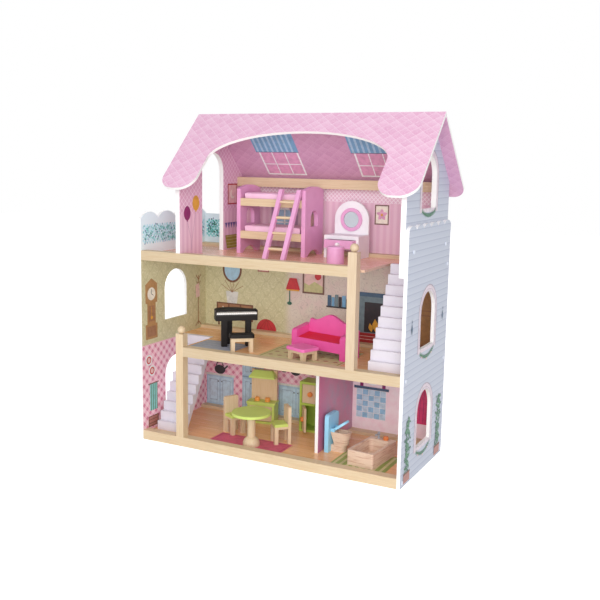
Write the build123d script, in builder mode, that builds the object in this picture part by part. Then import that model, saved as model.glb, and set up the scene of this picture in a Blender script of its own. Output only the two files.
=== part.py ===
from build123d import *
import math
import os

os.makedirs("parts", exist_ok=True)

# Frame: millimetres, +X to the right, +Y to the back, +Z up.
# Pieces are drawn from the middle between the side walls, on the surface the house stands on.
# They are written with the middle of the whole house's bounding box, roof included, at x = 0.

# House: outer sizes and board thicknesses
house_width = 600.0
house_depth = 250.0
storey_height = 196.5
wall_thickness = 7.0
gable_thickness = 10.0
back_thickness = 3.0
roof_thickness = 6.0
floor_thickness = 5.0
bar_size = 20.0
floor_drop = 7.0
groove_depth = 4.0

# House: stair openings, stairs and newel posts
notch_width = 85.0
notch_depth = 153.5
stair_width = 70.0
stair_wall_gap = 10.0
stair_steps = 10
stair_tread = 11.5
stair_waist = 9.0
newel_size = 18.0
left_newel_gap = 87.0
right_newel_gap = 93.0
newel_above_floor = 27.0
ball_radius = 8.4
ball_sink = 0.5

# House: openings in the walls
window_width = 84.0
window_height = 110.0
window_sill = 35.0
gable_opening_crown = 207.0
gable_window_height = 101.0

# House: top storey and roof
balcony_width = 89.0
parapet_height = 80.0
left_humps = 4
back_humps = 2
left_hump_rise = 13.0
right_humps = 6
right_hump_rise = 8.0
top_wall_height = 153.5
gable_lap = 14.0
roof_pitch = 45.0
roof_length = 225.0
roof_front_length = 215.0
roof_overhang = 26.0
roof_leg_width = 80.0
roof_leg_height = 88.0
roof_arch_rise = 74.0
half_turn = 180.0
roof_leg_radius = 34.0
back_eave_radius = 26.0
back_panel_gap = 0.5

# House: partition and screws
bathroom_width = 198.0
partition_setback = 71.0
screw_head_radius = 4.0
screw_head_height = 1.5
screw_shank_radius = 1.8
screw_hole_radius = 2.0
bar_screw_length = 25.0
gable_screw_length = 14.0
gable_screw_height = 32.0
gable_screw_inset = 29.0

# Bunk bed and ladder
bed_length = 165.0
bed_depth = 86.0
bed_post_height = 138.0
bed_arch_rise = 8.0
bed_end_thickness = 9.0
bed_gable_gap = 52.0
bed_rear_gap = 2.0
bed_window_width = 34.0
bed_window_height = 34.0
bed_window_sill = 62.0
bed_foot_arch_width = 63.0
bed_foot_arch_height = 13.0
bed_frame_height = 16.0
bed_frame_wall = 6.0
bed_slat_thickness = 4.0
bed_low_frame_base = 32.0
bed_high_frame_base = 102.0
mattress_thickness = 24.0
mattress_gap = 0.6
mattress_crown = 2.0
ladder_lean = 27.0
ladder_height = 140.0
ladder_spacing = 42.0
ladder_rail_width = 9.0
ladder_rail_thickness = 8.0
ladder_rung_radius = 3.0
ladder_rung_count = 4
ladder_rung_pitch = 31.0
ladder_first_rung = 21.0
ladder_bed_offset = 50.5
ladder_gap = 0.5

# Vanity and its stool
vanity_width = 78.0
vanity_depth = 58.0
vanity_table_height = 47.5
vanity_slab = 8.0
vanity_side = 6.0
vanity_shelf_base = 19.0
vanity_shelf = 3.0
vanity_back = 3.0
vanity_bed_gap = 31.0
vanity_rear_gap = 2.0
vanity_board_height = 117.0
vanity_board_thickness = 6.0
mirror_ring_radius = 24.5
mirror_radius = 17.0
mirror_ring_thickness = 4.0
mirror_thickness = 2.0
drawer_gap = 0.4
drawer_front = 6.0
drawer_wall = 3.0
drawer_depth = 50.0
drawer_open = 15.0
drawer_knob_radius = 4.0
drawer_knob_length = 9.0
drawer_knob_round = 1.5
mirror_ring_round = 1.2
mirror_gap = 0.2
vanity_stool_radius = 17.0
vanity_stool_height = 34.0
vanity_stool_ahead = 82.0
vanity_stool_aside = 25.0
vanity_stool_round = 3.0

# Piano and bench
piano_turn = 40.0
piano_width = 90.0
piano_depth = 46.0
piano_treble_depth = 22.0
piano_bass_depth = 28.0
piano_bend_x = 64.0
piano_tail_x = 34.0
piano_tail_bulge_x = 8.0
piano_tail_bulge_y = 40.0
piano_leg_height = 57.0
piano_case_height = 22.0
piano_key_depth = 14.0
piano_key_drop = 11.0
piano_key_thickness = 6.0
piano_cheek = 2.0
piano_leg_size = 12.0
piano_leg_inset = 13.0
piano_leg_setback = 3.0
piano_notch_gap = 63.0
piano_bar_gap = 40.0
bench_turn = 38.0
bench_width = 46.0
bench_depth = 20.0
bench_frame_height = 31.0
bench_seat_thickness = 8.0
bench_seat_lip = 3.0
bench_leg = 8.0
bench_rail = 8.0
bench_ahead = 47.0
bench_along = 48.0
bench_corner_radius = 6.0
bench_seat_round = 2.5

# Sofa and coffee table
sofa_turn = -12.0
sofa_width = 138.0
sofa_depth = 50.0
sofa_arm_front_height = 49.0
sofa_arm_rear_height = 57.0
sofa_arm_thickness = 13.5
sofa_back_thickness = 8.0
sofa_back_base = 20.0
sofa_crest_height = 81.0
sofa_dip_x = 37.0
sofa_dip_height = 67.0
sofa_shoulder_x = 52.0
sofa_shoulder_height = 68.5
sofa_arm_round = 8.0
sofa_foot_arch_inset = 10.0
sofa_foot_arch_height = 12.0
sofa_seat_gap = 0.3
sofa_seat_round = 1.0
sofa_seat_base = 28.0
sofa_seat_thickness = 6.0
sofa_seat_rear_thickness = 12.0
sofa_rail_height = 14.0
sofa_rail_thickness = 3.5
sofa_ledge_depth = 6.0
sofa_middle_x = 78.0
sofa_bar_gap = 75.6
coffee_turn = -22.0
coffee_width = 54.0
coffee_depth = 46.0
coffee_height = 27.0
coffee_top_thickness = 6.0
coffee_leg_width = 8.5
coffee_leg_thickness = 6.0
coffee_gap_height = 15.0
coffee_gap_radius = 4.0
coffee_leg_inset = 4.0
coffee_corner_radius = 6.0
coffee_top_round = 2.0
coffee_ahead = 39.0
coffee_aside = 8.0

# Stove
stove_width = 65.0
stove_depth = 30.0
stove_height = 50.0
stove_counter = 5.0
stove_counter_lip = 1.5
stove_side = 6.0
stove_back = 4.0
stove_plinth = 5.0
stove_front_rail = 4.0
stove_board_height = 120.0
stove_board_thickness = 6.0
stove_board_margin = 2.0
stove_rear_gap = 6.2
stove_cupboard_gap = 131.0
hood_height = 16.0
hood_depth = 20.0
hood_top_depth = 8.0
hood_slope_inset = 9.0
hood_lip = 4.0
hob_radius = 6.0
hob_height = 9.0
hob_spacing = 25.0
hob_setback = 12.0
hob_round = 3.5
stove_turn = 10.0
oven_door_thickness = 5.0
oven_door_gap = 0.5
peg_radius = 1.5
peg_length = 2.5
peg_clearance = 0.1

# Cupboard
cupboard_width = 44.0
cupboard_depth = 40.0
cupboard_height = 113.0
cupboard_wall = 5.0
cupboard_shelf_base = 60.0
cupboard_x = -6.0
cupboard_rear_gap = 2.0
cupboard_door_thickness = 5.0
cupboard_door_gap = 0.6
cupboard_door_open = 55.0
knob_radius = 5.5
knob_length = 6.0
knob_edge = 12.0
knob_round = 2.0

# Dining table and chairs
table_radius = 41.5
table_height = 73.0
table_top_thickness = 5.5
table_column_radius = 8.5
table_foot_radius = 18.0
table_foot_rim = 3.0
table_top_round = 1.5
table_bar_gap = 29.0
table_cupboard_aside = 43.5
chair_width = 34.0
chair_depth = 36.0
chair_back_height = 80.0
chair_back_thickness = 7.0
chair_seat_height = 44.0
chair_seat_thickness = 6.0
chair_board_thickness = 5.0
chair_leg = 8.0
chair_corner_radius = 4.0
chair_seat_round = 2.0
left_chair_turn = 64.0
left_chair_x = -74.5
left_chair_y = 54.0
right_chair_turn = -46.0
right_chair_x = 45.0
right_chair_y = 47.0

# Toilet
toilet_board_width = 50.0
toilet_board_height = 79.0
toilet_board_thickness = 9.0
toilet_board_radius = 8.0
toilet_partition_gap = 8.0
toilet_bar_gap = 90.0
bowl_length = 40.0
bowl_width = 30.0
bowl_rim_height = 42.0
bowl_under = 14.0
bowl_wall = 5.0
bowl_hollow = 18.0
bowl_taper = 12.0
bowl_foot_length = 30.0
bowl_foot_width = 22.0
lid_thickness = 5.0
lid_length = 35.0
lid_side_inset = 1.0
lid_barrel_radius = 2.5
lid_barrel_length = 18.0
lid_neck = 6.5
lid_open = 36.0
lid_rim_gap = 0.4
lug_thickness = 4.0
lug_size = 8.0
lug_gap = 0.4

# Bathtub
tub_turn = -6.0
tub_width = 58.0
tub_length = 104.0
tub_height = 31.0
tub_wall = 5.0
tub_floor = 6.0
tub_deck = 16.0
tub_corner_radius = 4.0
tub_hollow_radius = 10.0
tub_hollow_taper = 8.0
tub_wall_gap = 87.0
tub_bar_gap = 72.0
tap_radius = 2.5
tap_height = 14.0
tap_spout = 14.0
tap_spout_radius = 2.0
tap_spout_drop = 3.5
tap_knob_radius = 5.5
tap_knob_height = 8.0
tap_knob_round = 3.0
tap_spacing = 16.0

# Working planes and levels shared by the house and its furniture
outer_x = house_width / 2
inner_x = outer_x - wall_thickness
front_y = -house_depth / 2
back_y = house_depth / 2
panel_y = back_y - back_thickness
bar_front_y = front_y + bar_size
bar_rear_y = panel_y - bar_size
levels = [bar_size + storey * storey_height for storey in range(3)]
floors = [level - floor_drop for level in levels]
notch_x = inner_x - notch_width
notch_y = front_y + notch_depth
left_newel_x = left_newel_gap + newel_size / 2 - inner_x
right_newel_x = inner_x - right_newel_gap - newel_size / 2
left_gable_x = -inner_x + balcony_width
left_gable_inner_x = left_gable_x + gable_thickness
right_gable_inner_x = inner_x - gable_thickness
eave_z = levels[2] + top_wall_height
roof_slope = math.tan(math.radians(roof_pitch))
inner_ridge_z = eave_z + back_y * roof_slope
roof_x0 = left_gable_x - roof_overhang
roof_x1 = inner_x + roof_overhang
box_centre_x = (roof_x1 - outer_x - screw_head_height) / 2
ridge_z = inner_ridge_z + roof_thickness / math.cos(math.radians(roof_pitch))
opening_crown_z = levels[2] + gable_opening_crown
partition_x = inner_x - bathroom_width


def standing(x, y, z, turn=0.0):
    """Plane on a floor, turned about the vertical: local X right, local Y to the piece's back."""
    angle = math.radians(turn)
    return Plane((x, y, z), x_dir=(math.cos(angle), math.sin(angle), 0), z_dir=(0, 0, 1))


def facing(plane, x=0.0, y=0.0):
    """Upright plane across a standing plane: local X right, local Y up, normal to the front."""
    return Plane(plane.from_local_coords((x, y, 0)), x_dir=plane.x_dir, z_dir=-plane.y_dir)


def profile(plane, x=0.0, y=0.0):
    """Upright plane along a standing plane: local X to the back, local Y up, normal to the right."""
    return Plane(plane.from_local_coords((x, y, 0)), x_dir=plane.y_dir, z_dir=plane.x_dir)


def arched(width, height, mode=Mode.SUBTRACT):
    """Round-headed opening that stands on the current location."""
    spring = height - width / 2
    Rectangle(width, spring, align=(Align.CENTER, Align.MIN), mode=mode)
    with Locations((0, spring)):
        Circle(width / 2, mode=mode)


def span(x0, x1, y0, y1, mode=Mode.ADD):
    """Rectangle between two corners."""
    with Locations(((x0 + x1) / 2, (y0 + y1) / 2)):
        Rectangle(x1 - x0, y1 - y0, mode=mode)


def finish(piece, name):
    """Move a finished piece so that the whole house is centred on the origin, label it and write it."""
    placed = piece.part.moved(Location((-box_centre_x, 0, 0)))
    placed.label = name
    export_step(placed, f"parts/{name}.step")


# Screw places on the side walls: depth, height and shank length
bar_screw_ys = (front_y + bar_size / 2, panel_y - bar_size / 2)
bar_screw_zs = [level - bar_size / 2 for level in levels]
gable_screw_z = levels[2] + gable_screw_height
gable_screw_ys = (front_y + gable_screw_inset, back_y - gable_screw_inset)
left_screws = [
    (bar_screw_ys[0], bar_screw_zs[0], bar_screw_length),
    (bar_screw_ys[1], bar_screw_zs[0], bar_screw_length),
    (bar_screw_ys[1], bar_screw_zs[1], bar_screw_length),
    (bar_screw_ys[0], bar_screw_zs[2], bar_screw_length),
    (bar_screw_ys[1], bar_screw_zs[2], bar_screw_length),
]
right_screws = [
    (bar_screw_ys[0], bar_screw_zs[0], bar_screw_length),
    (bar_screw_ys[1], bar_screw_zs[0], bar_screw_length),
    (bar_screw_ys[0], bar_screw_zs[1], bar_screw_length),
    (bar_screw_ys[1], bar_screw_zs[1], bar_screw_length),
    (bar_screw_ys[1], bar_screw_zs[2], bar_screw_length),
    (gable_screw_ys[0], gable_screw_z, gable_screw_length),
    (gable_screw_ys[1], gable_screw_z, gable_screw_length),
]


def screw_holes(screws):
    """Clearance holes for the given screws, cut from a sketch that looks along X."""
    with Locations([(y, z) for y, z, _ in screws]):
        Circle(screw_hole_radius, mode=Mode.SUBTRACT)


def bar_sketch(y0, level, groove_y):
    """Square bar section with the groove that holds a floor panel's edge."""
    floor = level - floor_drop
    span(y0, y0 + bar_size, level - bar_size, level)
    span(groove_y, groove_y + groove_depth, floor - floor_thickness, floor, Mode.SUBTRACT)


def screw_bores(screws, y0, level, side):
    """Circles on a bar's end where the wall screws reach it."""
    reached = [
        (y, z) for y, z, _ in screws if y0 < y < y0 + bar_size and level - bar_size < z < level
    ]
    with BuildSketch(Plane.YZ.offset(side * inner_x)) as bores:
        with Locations(reached):
            Circle(screw_hole_radius)
    return bores.sketch


bore_depth = bar_screw_length - wall_thickness


# Front bars: the lowest runs wall to wall, the upper two stop at a newel post
front_bar_ends = [
    ("base_front_bar", -inner_x, inner_x),
    ("second_front_bar", left_newel_x + newel_size / 2, inner_x),
    ("third_front_bar", -inner_x, right_newel_x - newel_size / 2),
]
for (bar_name, bar_x0, bar_x1), bar_level in zip(front_bar_ends, levels):
    with BuildPart() as front_bar:
        with BuildSketch(Plane.YZ.offset(bar_x0)):
            bar_sketch(front_y, bar_level, bar_front_y - groove_depth)
        extrude(amount=bar_x1 - bar_x0)
        if bar_x0 == -inner_x:
            left_bores = screw_bores(left_screws, front_y, bar_level, -1)
            extrude(left_bores, amount=bore_depth, mode=Mode.SUBTRACT)
        if bar_x1 == inner_x:
            right_bores = screw_bores(right_screws, front_y, bar_level, 1)
            extrude(right_bores, amount=-bore_depth, mode=Mode.SUBTRACT)
    finish(front_bar, bar_name)

# Rear bars: one under each storey's back wall, wall to wall
with BuildPart() as rear_bars:
    for bar_level in levels:
        with BuildSketch(Plane.YZ.offset(-inner_x)):
            bar_sketch(bar_rear_y, bar_level, bar_rear_y)
        extrude(amount=2 * inner_x)
        left_bores = screw_bores(left_screws, bar_rear_y, bar_level, -1)
        extrude(left_bores, amount=bore_depth, mode=Mode.SUBTRACT)
        right_bores = screw_bores(right_screws, bar_rear_y, bar_level, 1)
        extrude(right_bores, amount=-bore_depth, mode=Mode.SUBTRACT)
finish(rear_bars, "rear_bars")

# Ground floor panel, held in the grooves of its two bars
with BuildPart() as base_panel:
    with BuildSketch(Plane.XY.offset(floors[0])):
        span(-inner_x, inner_x, bar_front_y - groove_depth, bar_rear_y + groove_depth)
    extrude(amount=-floor_thickness)
finish(base_panel, "base_panel")

# Second floor panel, notched at the front left for the lower stairs
with BuildPart() as second_floor_panel:
    with BuildSketch(Plane.XY.offset(floors[1])):
        span(-notch_x, inner_x, bar_front_y, bar_rear_y)
        span(left_newel_x + newel_size / 2, inner_x, bar_front_y - groove_depth, bar_front_y)
        span(-inner_x, inner_x, notch_y, bar_rear_y + groove_depth)
    extrude(amount=-floor_thickness)
finish(second_floor_panel, "second_floor_panel")

# Third floor panel, notched at the front right for the upper stairs
with BuildPart() as third_floor_panel:
    with BuildSketch(Plane.XY.offset(floors[2])):
        span(-inner_x, notch_x, bar_front_y, bar_rear_y)
        span(-inner_x, right_newel_x - newel_size / 2, bar_front_y - groove_depth, bar_front_y)
        span(-inner_x, right_gable_inner_x, notch_y, bar_rear_y + groove_depth)
    extrude(amount=-floor_thickness)
finish(third_floor_panel, "third_floor_panel")


def scallops(start, end, humps, dip, crown):
    """A row of equal humps along the top of a parapet."""
    pitch = (end - start) / humps
    for hump in range(humps):
        foot = start + hump * pitch
        ThreePointArc((foot, dip), (foot + pitch / 2, crown), (foot + pitch, dip))


def side_wall_face(x, humps, rise, screws):
    """Side wall with a scalloped parapet, an arched window on two storeys and screw holes."""
    crown = levels[2] + parapet_height
    dip = crown - rise
    with BuildSketch(Plane.YZ.offset(x)) as face:
        with BuildLine():
            Polyline((front_y, dip), (front_y, 0), (back_y, 0), (back_y, dip))
            scallops(back_y, front_y, humps, dip, crown)
        make_face()
        for level in levels[:2]:
            with Locations((0, level + window_sill)):
                arched(window_width, window_height)
        screw_holes(screws)
    return face.sketch


with BuildPart() as left_wall:
    extrude(side_wall_face(-outer_x, left_humps, left_hump_rise, left_screws), amount=wall_thickness)
finish(left_wall, "left_wall")

with BuildPart() as right_wall:
    extrude(side_wall_face(inner_x, right_humps, right_hump_rise, right_screws), amount=wall_thickness)
finish(right_wall, "right_wall")


def gable_top():
    """The gable's two vertical edges above the bars and its two slopes."""
    Polyline((back_y, levels[2]), (back_y, eave_z), (0, inner_ridge_z), (front_y, eave_z))


# Left gable wall: stands on the third floor behind the balcony, with a doorway to it
with BuildPart() as left_gable_wall:
    with BuildSketch(Plane.YZ.offset(left_gable_x)):
        with BuildLine():
            gable_top()
            Polyline((front_y, eave_z), (front_y, levels[2]), (bar_front_y, levels[2]))
            Polyline((bar_front_y, levels[2]), (bar_front_y, floors[2]), (bar_rear_y, floors[2]))
            Polyline((bar_rear_y, floors[2]), (bar_rear_y, levels[2]), (back_y, levels[2]))
        make_face()
        with Locations((0, floors[2])):
            arched(window_width, opening_crown_z - floors[2])
    extrude(amount=gable_thickness)
finish(left_gable_wall, "left_gable_wall")

# Right gable wall: laps down inside the right wall, with an arched window
with BuildPart() as right_gable_wall:
    gable_foot_z = levels[2] - gable_lap
    with BuildSketch(Plane.YZ.offset(right_gable_inner_x)):
        with BuildLine():
            gable_top()
            Polyline((front_y, eave_z), (front_y, gable_foot_z), (bar_rear_y, gable_foot_z))
            Polyline((bar_rear_y, gable_foot_z), (bar_rear_y, levels[2]), (back_y, levels[2]))
        make_face()
        with Locations((0, opening_crown_z - gable_window_height)):
            arched(window_width, gable_window_height)
    extrude(amount=gable_thickness)
    with BuildSketch(Plane.YZ.offset(inner_x)):
        with Locations([(y, gable_screw_z) for y in gable_screw_ys]):
            Circle(screw_hole_radius)
    extrude(amount=wall_thickness - gable_screw_length, mode=Mode.SUBTRACT)
finish(right_gable_wall, "right_gable_wall")

# Back panel: closes the three storeys and the balcony's back, which has a scalloped top
with BuildPart() as back_panel:
    balcony_crown = levels[2] + parapet_height
    balcony_dip = balcony_crown - left_hump_rise
    with BuildSketch(Plane.XZ.offset(-back_y)):
        span(-inner_x, inner_x, 0, levels[2])
        span(left_gable_inner_x, right_gable_inner_x, levels[2], eave_z - back_panel_gap)
        span(-inner_x, left_gable_x, levels[2], balcony_dip)
        with BuildLine():
            scallops(left_gable_x, -inner_x, back_humps, balcony_dip, balcony_crown)
            Line((-inner_x, balcony_dip), (left_gable_x, balcony_dip))
        make_face()
    extrude(amount=back_thickness)
finish(back_panel, "back_panel")

# Roof rail along the top of the third storey's back wall
with BuildPart() as roof_rail:
    with BuildSketch(Plane.YZ.offset(left_gable_inner_x)):
        span(bar_rear_y, panel_y, eave_z - bar_size, eave_z)
    extrude(amount=right_gable_inner_x - left_gable_inner_x)
finish(roof_rail, "roof_rail")

# Roof: two panels that butt at the ridge, drawn on the slopes with the ridge at local Y zero
roof_width = roof_x1 - roof_x0
roof_mid_x = (roof_x0 + roof_x1) / 2
pitch_sin = math.sin(math.radians(roof_pitch))
pitch_cos = math.cos(math.radians(roof_pitch))
front_slope = Plane((roof_mid_x, 0, ridge_z), x_dir=(1, 0, 0), z_dir=(0, -pitch_sin, pitch_cos))
back_slope = Plane((roof_mid_x, 0, ridge_z), x_dir=(-1, 0, 0), z_dir=(0, pitch_sin, pitch_cos))

# Front panel: a wide arch leaves two legs with rounded ends
with BuildPart() as roof_front_panel:
    arch_half = roof_width / 2 - roof_leg_width
    leg_end = -roof_front_length
    arch_y = leg_end + roof_leg_height
    with BuildSketch(front_slope):
        with BuildLine():
            Polyline((-arch_half, arch_y), (-arch_half, leg_end), (-roof_width / 2, leg_end))
            Polyline((-roof_width / 2, leg_end), (-roof_width / 2, 0), (roof_width / 2, 0))
            Polyline((roof_width / 2, 0), (roof_width / 2, leg_end), (arch_half, leg_end))
            Line((arch_half, leg_end), (arch_half, arch_y))
            EllipticalCenterArc((0, arch_y), arch_half, roof_arch_rise, start_angle=0, arc_size=half_turn)
        make_face()
        leg_corners = [v for v in vertices() if v.Y < arch_y - roof_leg_height / 2]
        fillet(leg_corners, roof_leg_radius)
    extrude(amount=-roof_thickness)
finish(roof_front_panel, "roof_front_panel")

# Back panel: plain, with rounded lower corners, butting under the front panel
with BuildPart() as roof_back_panel:
    with BuildSketch(back_slope):
        span(-roof_width / 2, roof_width / 2, -roof_length, -roof_thickness)
        fillet(vertices().group_by(Axis.Y)[0], back_eave_radius)
    extrude(amount=-roof_thickness)
finish(roof_back_panel, "roof_back_panel")

# Partition between the kitchen and the bathroom, notched round the rear bars
with BuildPart() as partition_wall:
    ceiling_z = floors[1] - floor_thickness
    with BuildSketch(Plane.YZ.offset(partition_x - wall_thickness)):
        span(front_y + partition_setback, panel_y, floors[0], ceiling_z)
        span(bar_rear_y, panel_y, floors[0], levels[0], Mode.SUBTRACT)
        span(bar_rear_y, panel_y, levels[1] - bar_size, ceiling_z, Mode.SUBTRACT)
    extrude(amount=wall_thickness)
finish(partition_wall, "partition_wall")


def stairs_outline(floor):
    """Saw-tooth of treads and risers that ends flush with the floor above, and a straight soffit."""
    riser = storey_height / stair_steps
    foot_y = notch_y - stair_steps * stair_tread
    nosings = []
    for step in range(stair_steps):
        tread_y = foot_y + step * stair_tread
        nosings += [(tread_y, floor + step * riser), (tread_y, floor + (step + 1) * riser)]
    pitch_angle = math.atan2(riser, stair_tread)
    soffit_shift = stair_waist / math.sin(pitch_angle)
    heel_y = foot_y + soffit_shift
    head_z = floor + (notch_y - heel_y) * riser / stair_tread
    Polyline(*nosings, (notch_y, floor + storey_height), (notch_y, head_z), (heel_y, floor), close=True)


stair_x = inner_x - stair_wall_gap - stair_width
with BuildPart() as left_stairs:
    with BuildSketch(Plane.YZ.offset(-stair_x - stair_width)):
        with BuildLine():
            stairs_outline(floors[0])
        make_face()
    extrude(amount=stair_width)
finish(left_stairs, "left_stairs")

with BuildPart() as right_stairs:
    with BuildSketch(Plane.YZ.offset(stair_x)):
        with BuildLine():
            stairs_outline(floors[1])
        make_face()
    extrude(amount=stair_width)
finish(right_stairs, "right_stairs")

# Newel posts: square, with a ball finial, from a front bar to above the floor over it
newel_posts = (("left_newel_post", left_newel_x, 0), ("right_newel_post", right_newel_x, 1))
for newel_name, newel_x, storey in newel_posts:
    with BuildPart() as newel_post:
        newel_top = levels[storey + 1] + newel_above_floor
        newel_y = front_y + newel_size / 2
        with BuildSketch(Plane.XY.offset(levels[storey])):
            with Locations((newel_x, newel_y)):
                Rectangle(newel_size, newel_size)
        extrude(amount=newel_top - levels[storey])
        with Locations((newel_x, newel_y, newel_top + ball_radius - ball_sink)):
            Sphere(ball_radius)
    finish(newel_post, newel_name)

# Assembly screws: a head on the wall's outside and a shank in the piece behind it
with BuildPart() as assembly_screws:
    for side, screws in ((-1, left_screws), (1, right_screws)):
        for screw_y, screw_z, screw_length in screws:
            with BuildSketch(Plane.YZ.offset(side * outer_x)):
                with Locations((screw_y, screw_z)):
                    Circle(screw_head_radius)
            extrude(amount=side * screw_head_height)
            with BuildSketch(Plane.YZ.offset(side * outer_x)):
                with Locations((screw_y, screw_z)):
                    Circle(screw_shank_radius)
            extrude(amount=-side * screw_length)
finish(assembly_screws, "assembly_screws")

# Bunk bed: origin at the front left corner of its footprint
bed_x = left_gable_inner_x + bed_gable_gap
bed_y = bar_rear_y - bed_rear_gap - bed_depth
bed_plane = standing(bed_x, bed_y, floors[2])


def bed_end(x):
    """Bed end with an arched top, an arched opening in the middle and an arch between its feet."""
    foot_0 = (bed_depth - bed_foot_arch_width) / 2
    foot_1 = bed_depth - foot_0
    middle = bed_depth / 2
    with BuildSketch(profile(bed_plane, x)) as face:
        with BuildLine():
            Line((0, 0), (0, bed_post_height))
            ThreePointArc(
                (0, bed_post_height), (middle, bed_post_height + bed_arch_rise), (bed_depth, bed_post_height)
            )
            Polyline((bed_depth, bed_post_height), (bed_depth, 0), (foot_1, 0))
            ThreePointArc((foot_1, 0), (middle, bed_foot_arch_height), (foot_0, 0))
            Line((foot_0, 0), (0, 0))
        make_face()
        with Locations((middle, bed_window_sill)):
            arched(bed_window_width, bed_window_height)
    return face.sketch


with BuildPart() as bed_ends:
    extrude(bed_end(0), amount=bed_end_thickness)
    extrude(bed_end(bed_length - bed_end_thickness), amount=bed_end_thickness)
finish(bed_ends, "bed_ends")

# Bed frames: two open trays between the ends
berth_bases = (bed_low_frame_base, bed_high_frame_base)
with BuildPart() as bed_frames:
    for base in berth_bases:
        with BuildSketch(bed_plane.offset(base)):
            span(bed_end_thickness, bed_length - bed_end_thickness, 0, bed_depth)
        extrude(amount=bed_frame_height)
        with BuildSketch(bed_plane.offset(base + bed_slat_thickness)):
            span(
                bed_end_thickness + bed_frame_wall,
                bed_length - bed_end_thickness - bed_frame_wall,
                bed_frame_wall,
                bed_depth - bed_frame_wall,
            )
        extrude(amount=bed_frame_height, mode=Mode.SUBTRACT)
finish(bed_frames, "bed_frames")

# Mattresses: a crowned pad in each tray, drawn in at the sides
with BuildPart() as bed_mattresses:
    edge = bed_end_thickness + bed_frame_wall + mattress_gap
    inset = bed_frame_wall + mattress_gap
    for base in berth_bases:
        pad_base = base + bed_slat_thickness
        for height, shrink in ((0, mattress_crown), (mattress_thickness - mattress_crown, 0)):
            with BuildSketch(bed_plane.offset(pad_base + height)):
                span(edge + shrink, bed_length - edge - shrink, inset + shrink, bed_depth - inset - shrink)
        loft()
        with BuildSketch(bed_plane.offset(pad_base + mattress_thickness - mattress_crown)):
            span(edge, bed_length - edge, inset, bed_depth - inset)
        extrude(amount=mattress_crown, taper=60)
finish(bed_mattresses, "bed_mattresses")

# Ladder: leans back with its top against the bed's front, its feet and tops cut level
lean_slope = math.tan(math.radians(ladder_lean))
ladder_x = bed_x + bed_length / 2 + ladder_bed_offset
ladder_y = bed_y - ladder_gap - ladder_height * lean_slope
ladder_plane = standing(ladder_x, ladder_y, floors[2])
ladder_foot = ladder_rail_thickness / math.cos(math.radians(ladder_lean))
ladder_reach = ladder_height * lean_slope
with BuildPart() as ladder_rails:
    for side in (-1, 1):
        with BuildSketch(profile(ladder_plane, side * ladder_spacing / 2)):
            with BuildLine():
                Polyline(
                    (0, 0),
                    (ladder_reach, ladder_height),
                    (ladder_reach - ladder_foot, ladder_height),
                    (-ladder_foot, 0),
                    close=True,
                )
            make_face()
        extrude(amount=ladder_rail_width / 2, both=True)
finish(ladder_rails, "ladder_rails")

with BuildPart() as ladder_rungs:
    with BuildSketch(profile(ladder_plane)):
        for rung in range(ladder_rung_count):
            height = ladder_first_rung + rung * ladder_rung_pitch
            with Locations((height * lean_slope - ladder_foot / 2, height)):
                Circle(ladder_rung_radius)
    extrude(amount=(ladder_spacing - ladder_rail_width) / 2, both=True)
finish(ladder_rungs, "ladder_rungs")

# Vanity: a table with a drawer, origin at the front left corner of its footprint
vanity_x = bed_x + bed_length + vanity_bed_gap
vanity_y = bar_rear_y - vanity_rear_gap - vanity_depth
vanity_plane = standing(vanity_x, vanity_y, floors[2])
slot_base = vanity_shelf_base + vanity_shelf
slot_top = vanity_table_height - vanity_slab
slot_x0 = vanity_side
slot_x1 = vanity_width - vanity_side
with BuildPart() as vanity_body:
    with BuildSketch(facing(vanity_plane)):
        span(0, vanity_width, 0, vanity_table_height)
        span(slot_x0, slot_x1, 0, vanity_shelf_base, Mode.SUBTRACT)
    extrude(amount=-vanity_depth)
    with BuildSketch(facing(vanity_plane)):
        span(slot_x0, slot_x1, slot_base, slot_top)
    extrude(amount=vanity_back - vanity_depth, mode=Mode.SUBTRACT)
finish(vanity_body, "vanity_body")

# Round-headed board on the table's rear edge, with the mirror and its ring on the front
board_y = vanity_depth - vanity_board_thickness
mirror_z = vanity_board_height - vanity_width / 2
with BuildPart() as vanity_board:
    with BuildSketch(facing(vanity_plane, vanity_width / 2, board_y)):
        with Locations((0, vanity_table_height)):
            arched(vanity_width, vanity_board_height - vanity_table_height, Mode.ADD)
        span(-vanity_width, vanity_width, 0, vanity_table_height, Mode.SUBTRACT)
    extrude(amount=-vanity_board_thickness)
finish(vanity_board, "vanity_board")

with BuildPart() as mirror_ring:
    with BuildSketch(facing(vanity_plane, vanity_width / 2, board_y)):
        with Locations((0, mirror_z)):
            Circle(mirror_ring_radius)
            Circle(mirror_radius, mode=Mode.SUBTRACT)
    extrude(amount=mirror_ring_thickness)
    fillet(edges().group_by(Axis.Y)[0], mirror_ring_round)
finish(mirror_ring, "mirror_ring")

with BuildPart() as mirror_glass:
    with BuildSketch(facing(vanity_plane, vanity_width / 2, board_y)):
        with Locations((0, mirror_z)):
            Circle(mirror_radius - mirror_gap)
    extrude(amount=mirror_thickness)
finish(mirror_glass, "mirror_glass")

# Drawer: an open box that runs in the slot and stands a little open, with a turned knob
with BuildPart() as vanity_drawer:
    drawer_x0 = slot_x0 + drawer_gap
    drawer_x1 = slot_x1 - drawer_gap
    with BuildSketch(vanity_plane.offset(slot_base + drawer_gap)):
        span(drawer_x0, drawer_x1, -drawer_open, drawer_depth - drawer_open)
    extrude(amount=slot_top - slot_base - 2 * drawer_gap)
    with BuildSketch(vanity_plane.offset(slot_base + drawer_gap + drawer_wall)):
        span(
            drawer_x0 + drawer_wall,
            drawer_x1 - drawer_wall,
            drawer_front - drawer_open,
            drawer_depth - drawer_wall - drawer_open,
        )
    extrude(amount=slot_top - slot_base, mode=Mode.SUBTRACT)
finish(vanity_drawer, "vanity_drawer")

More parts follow.
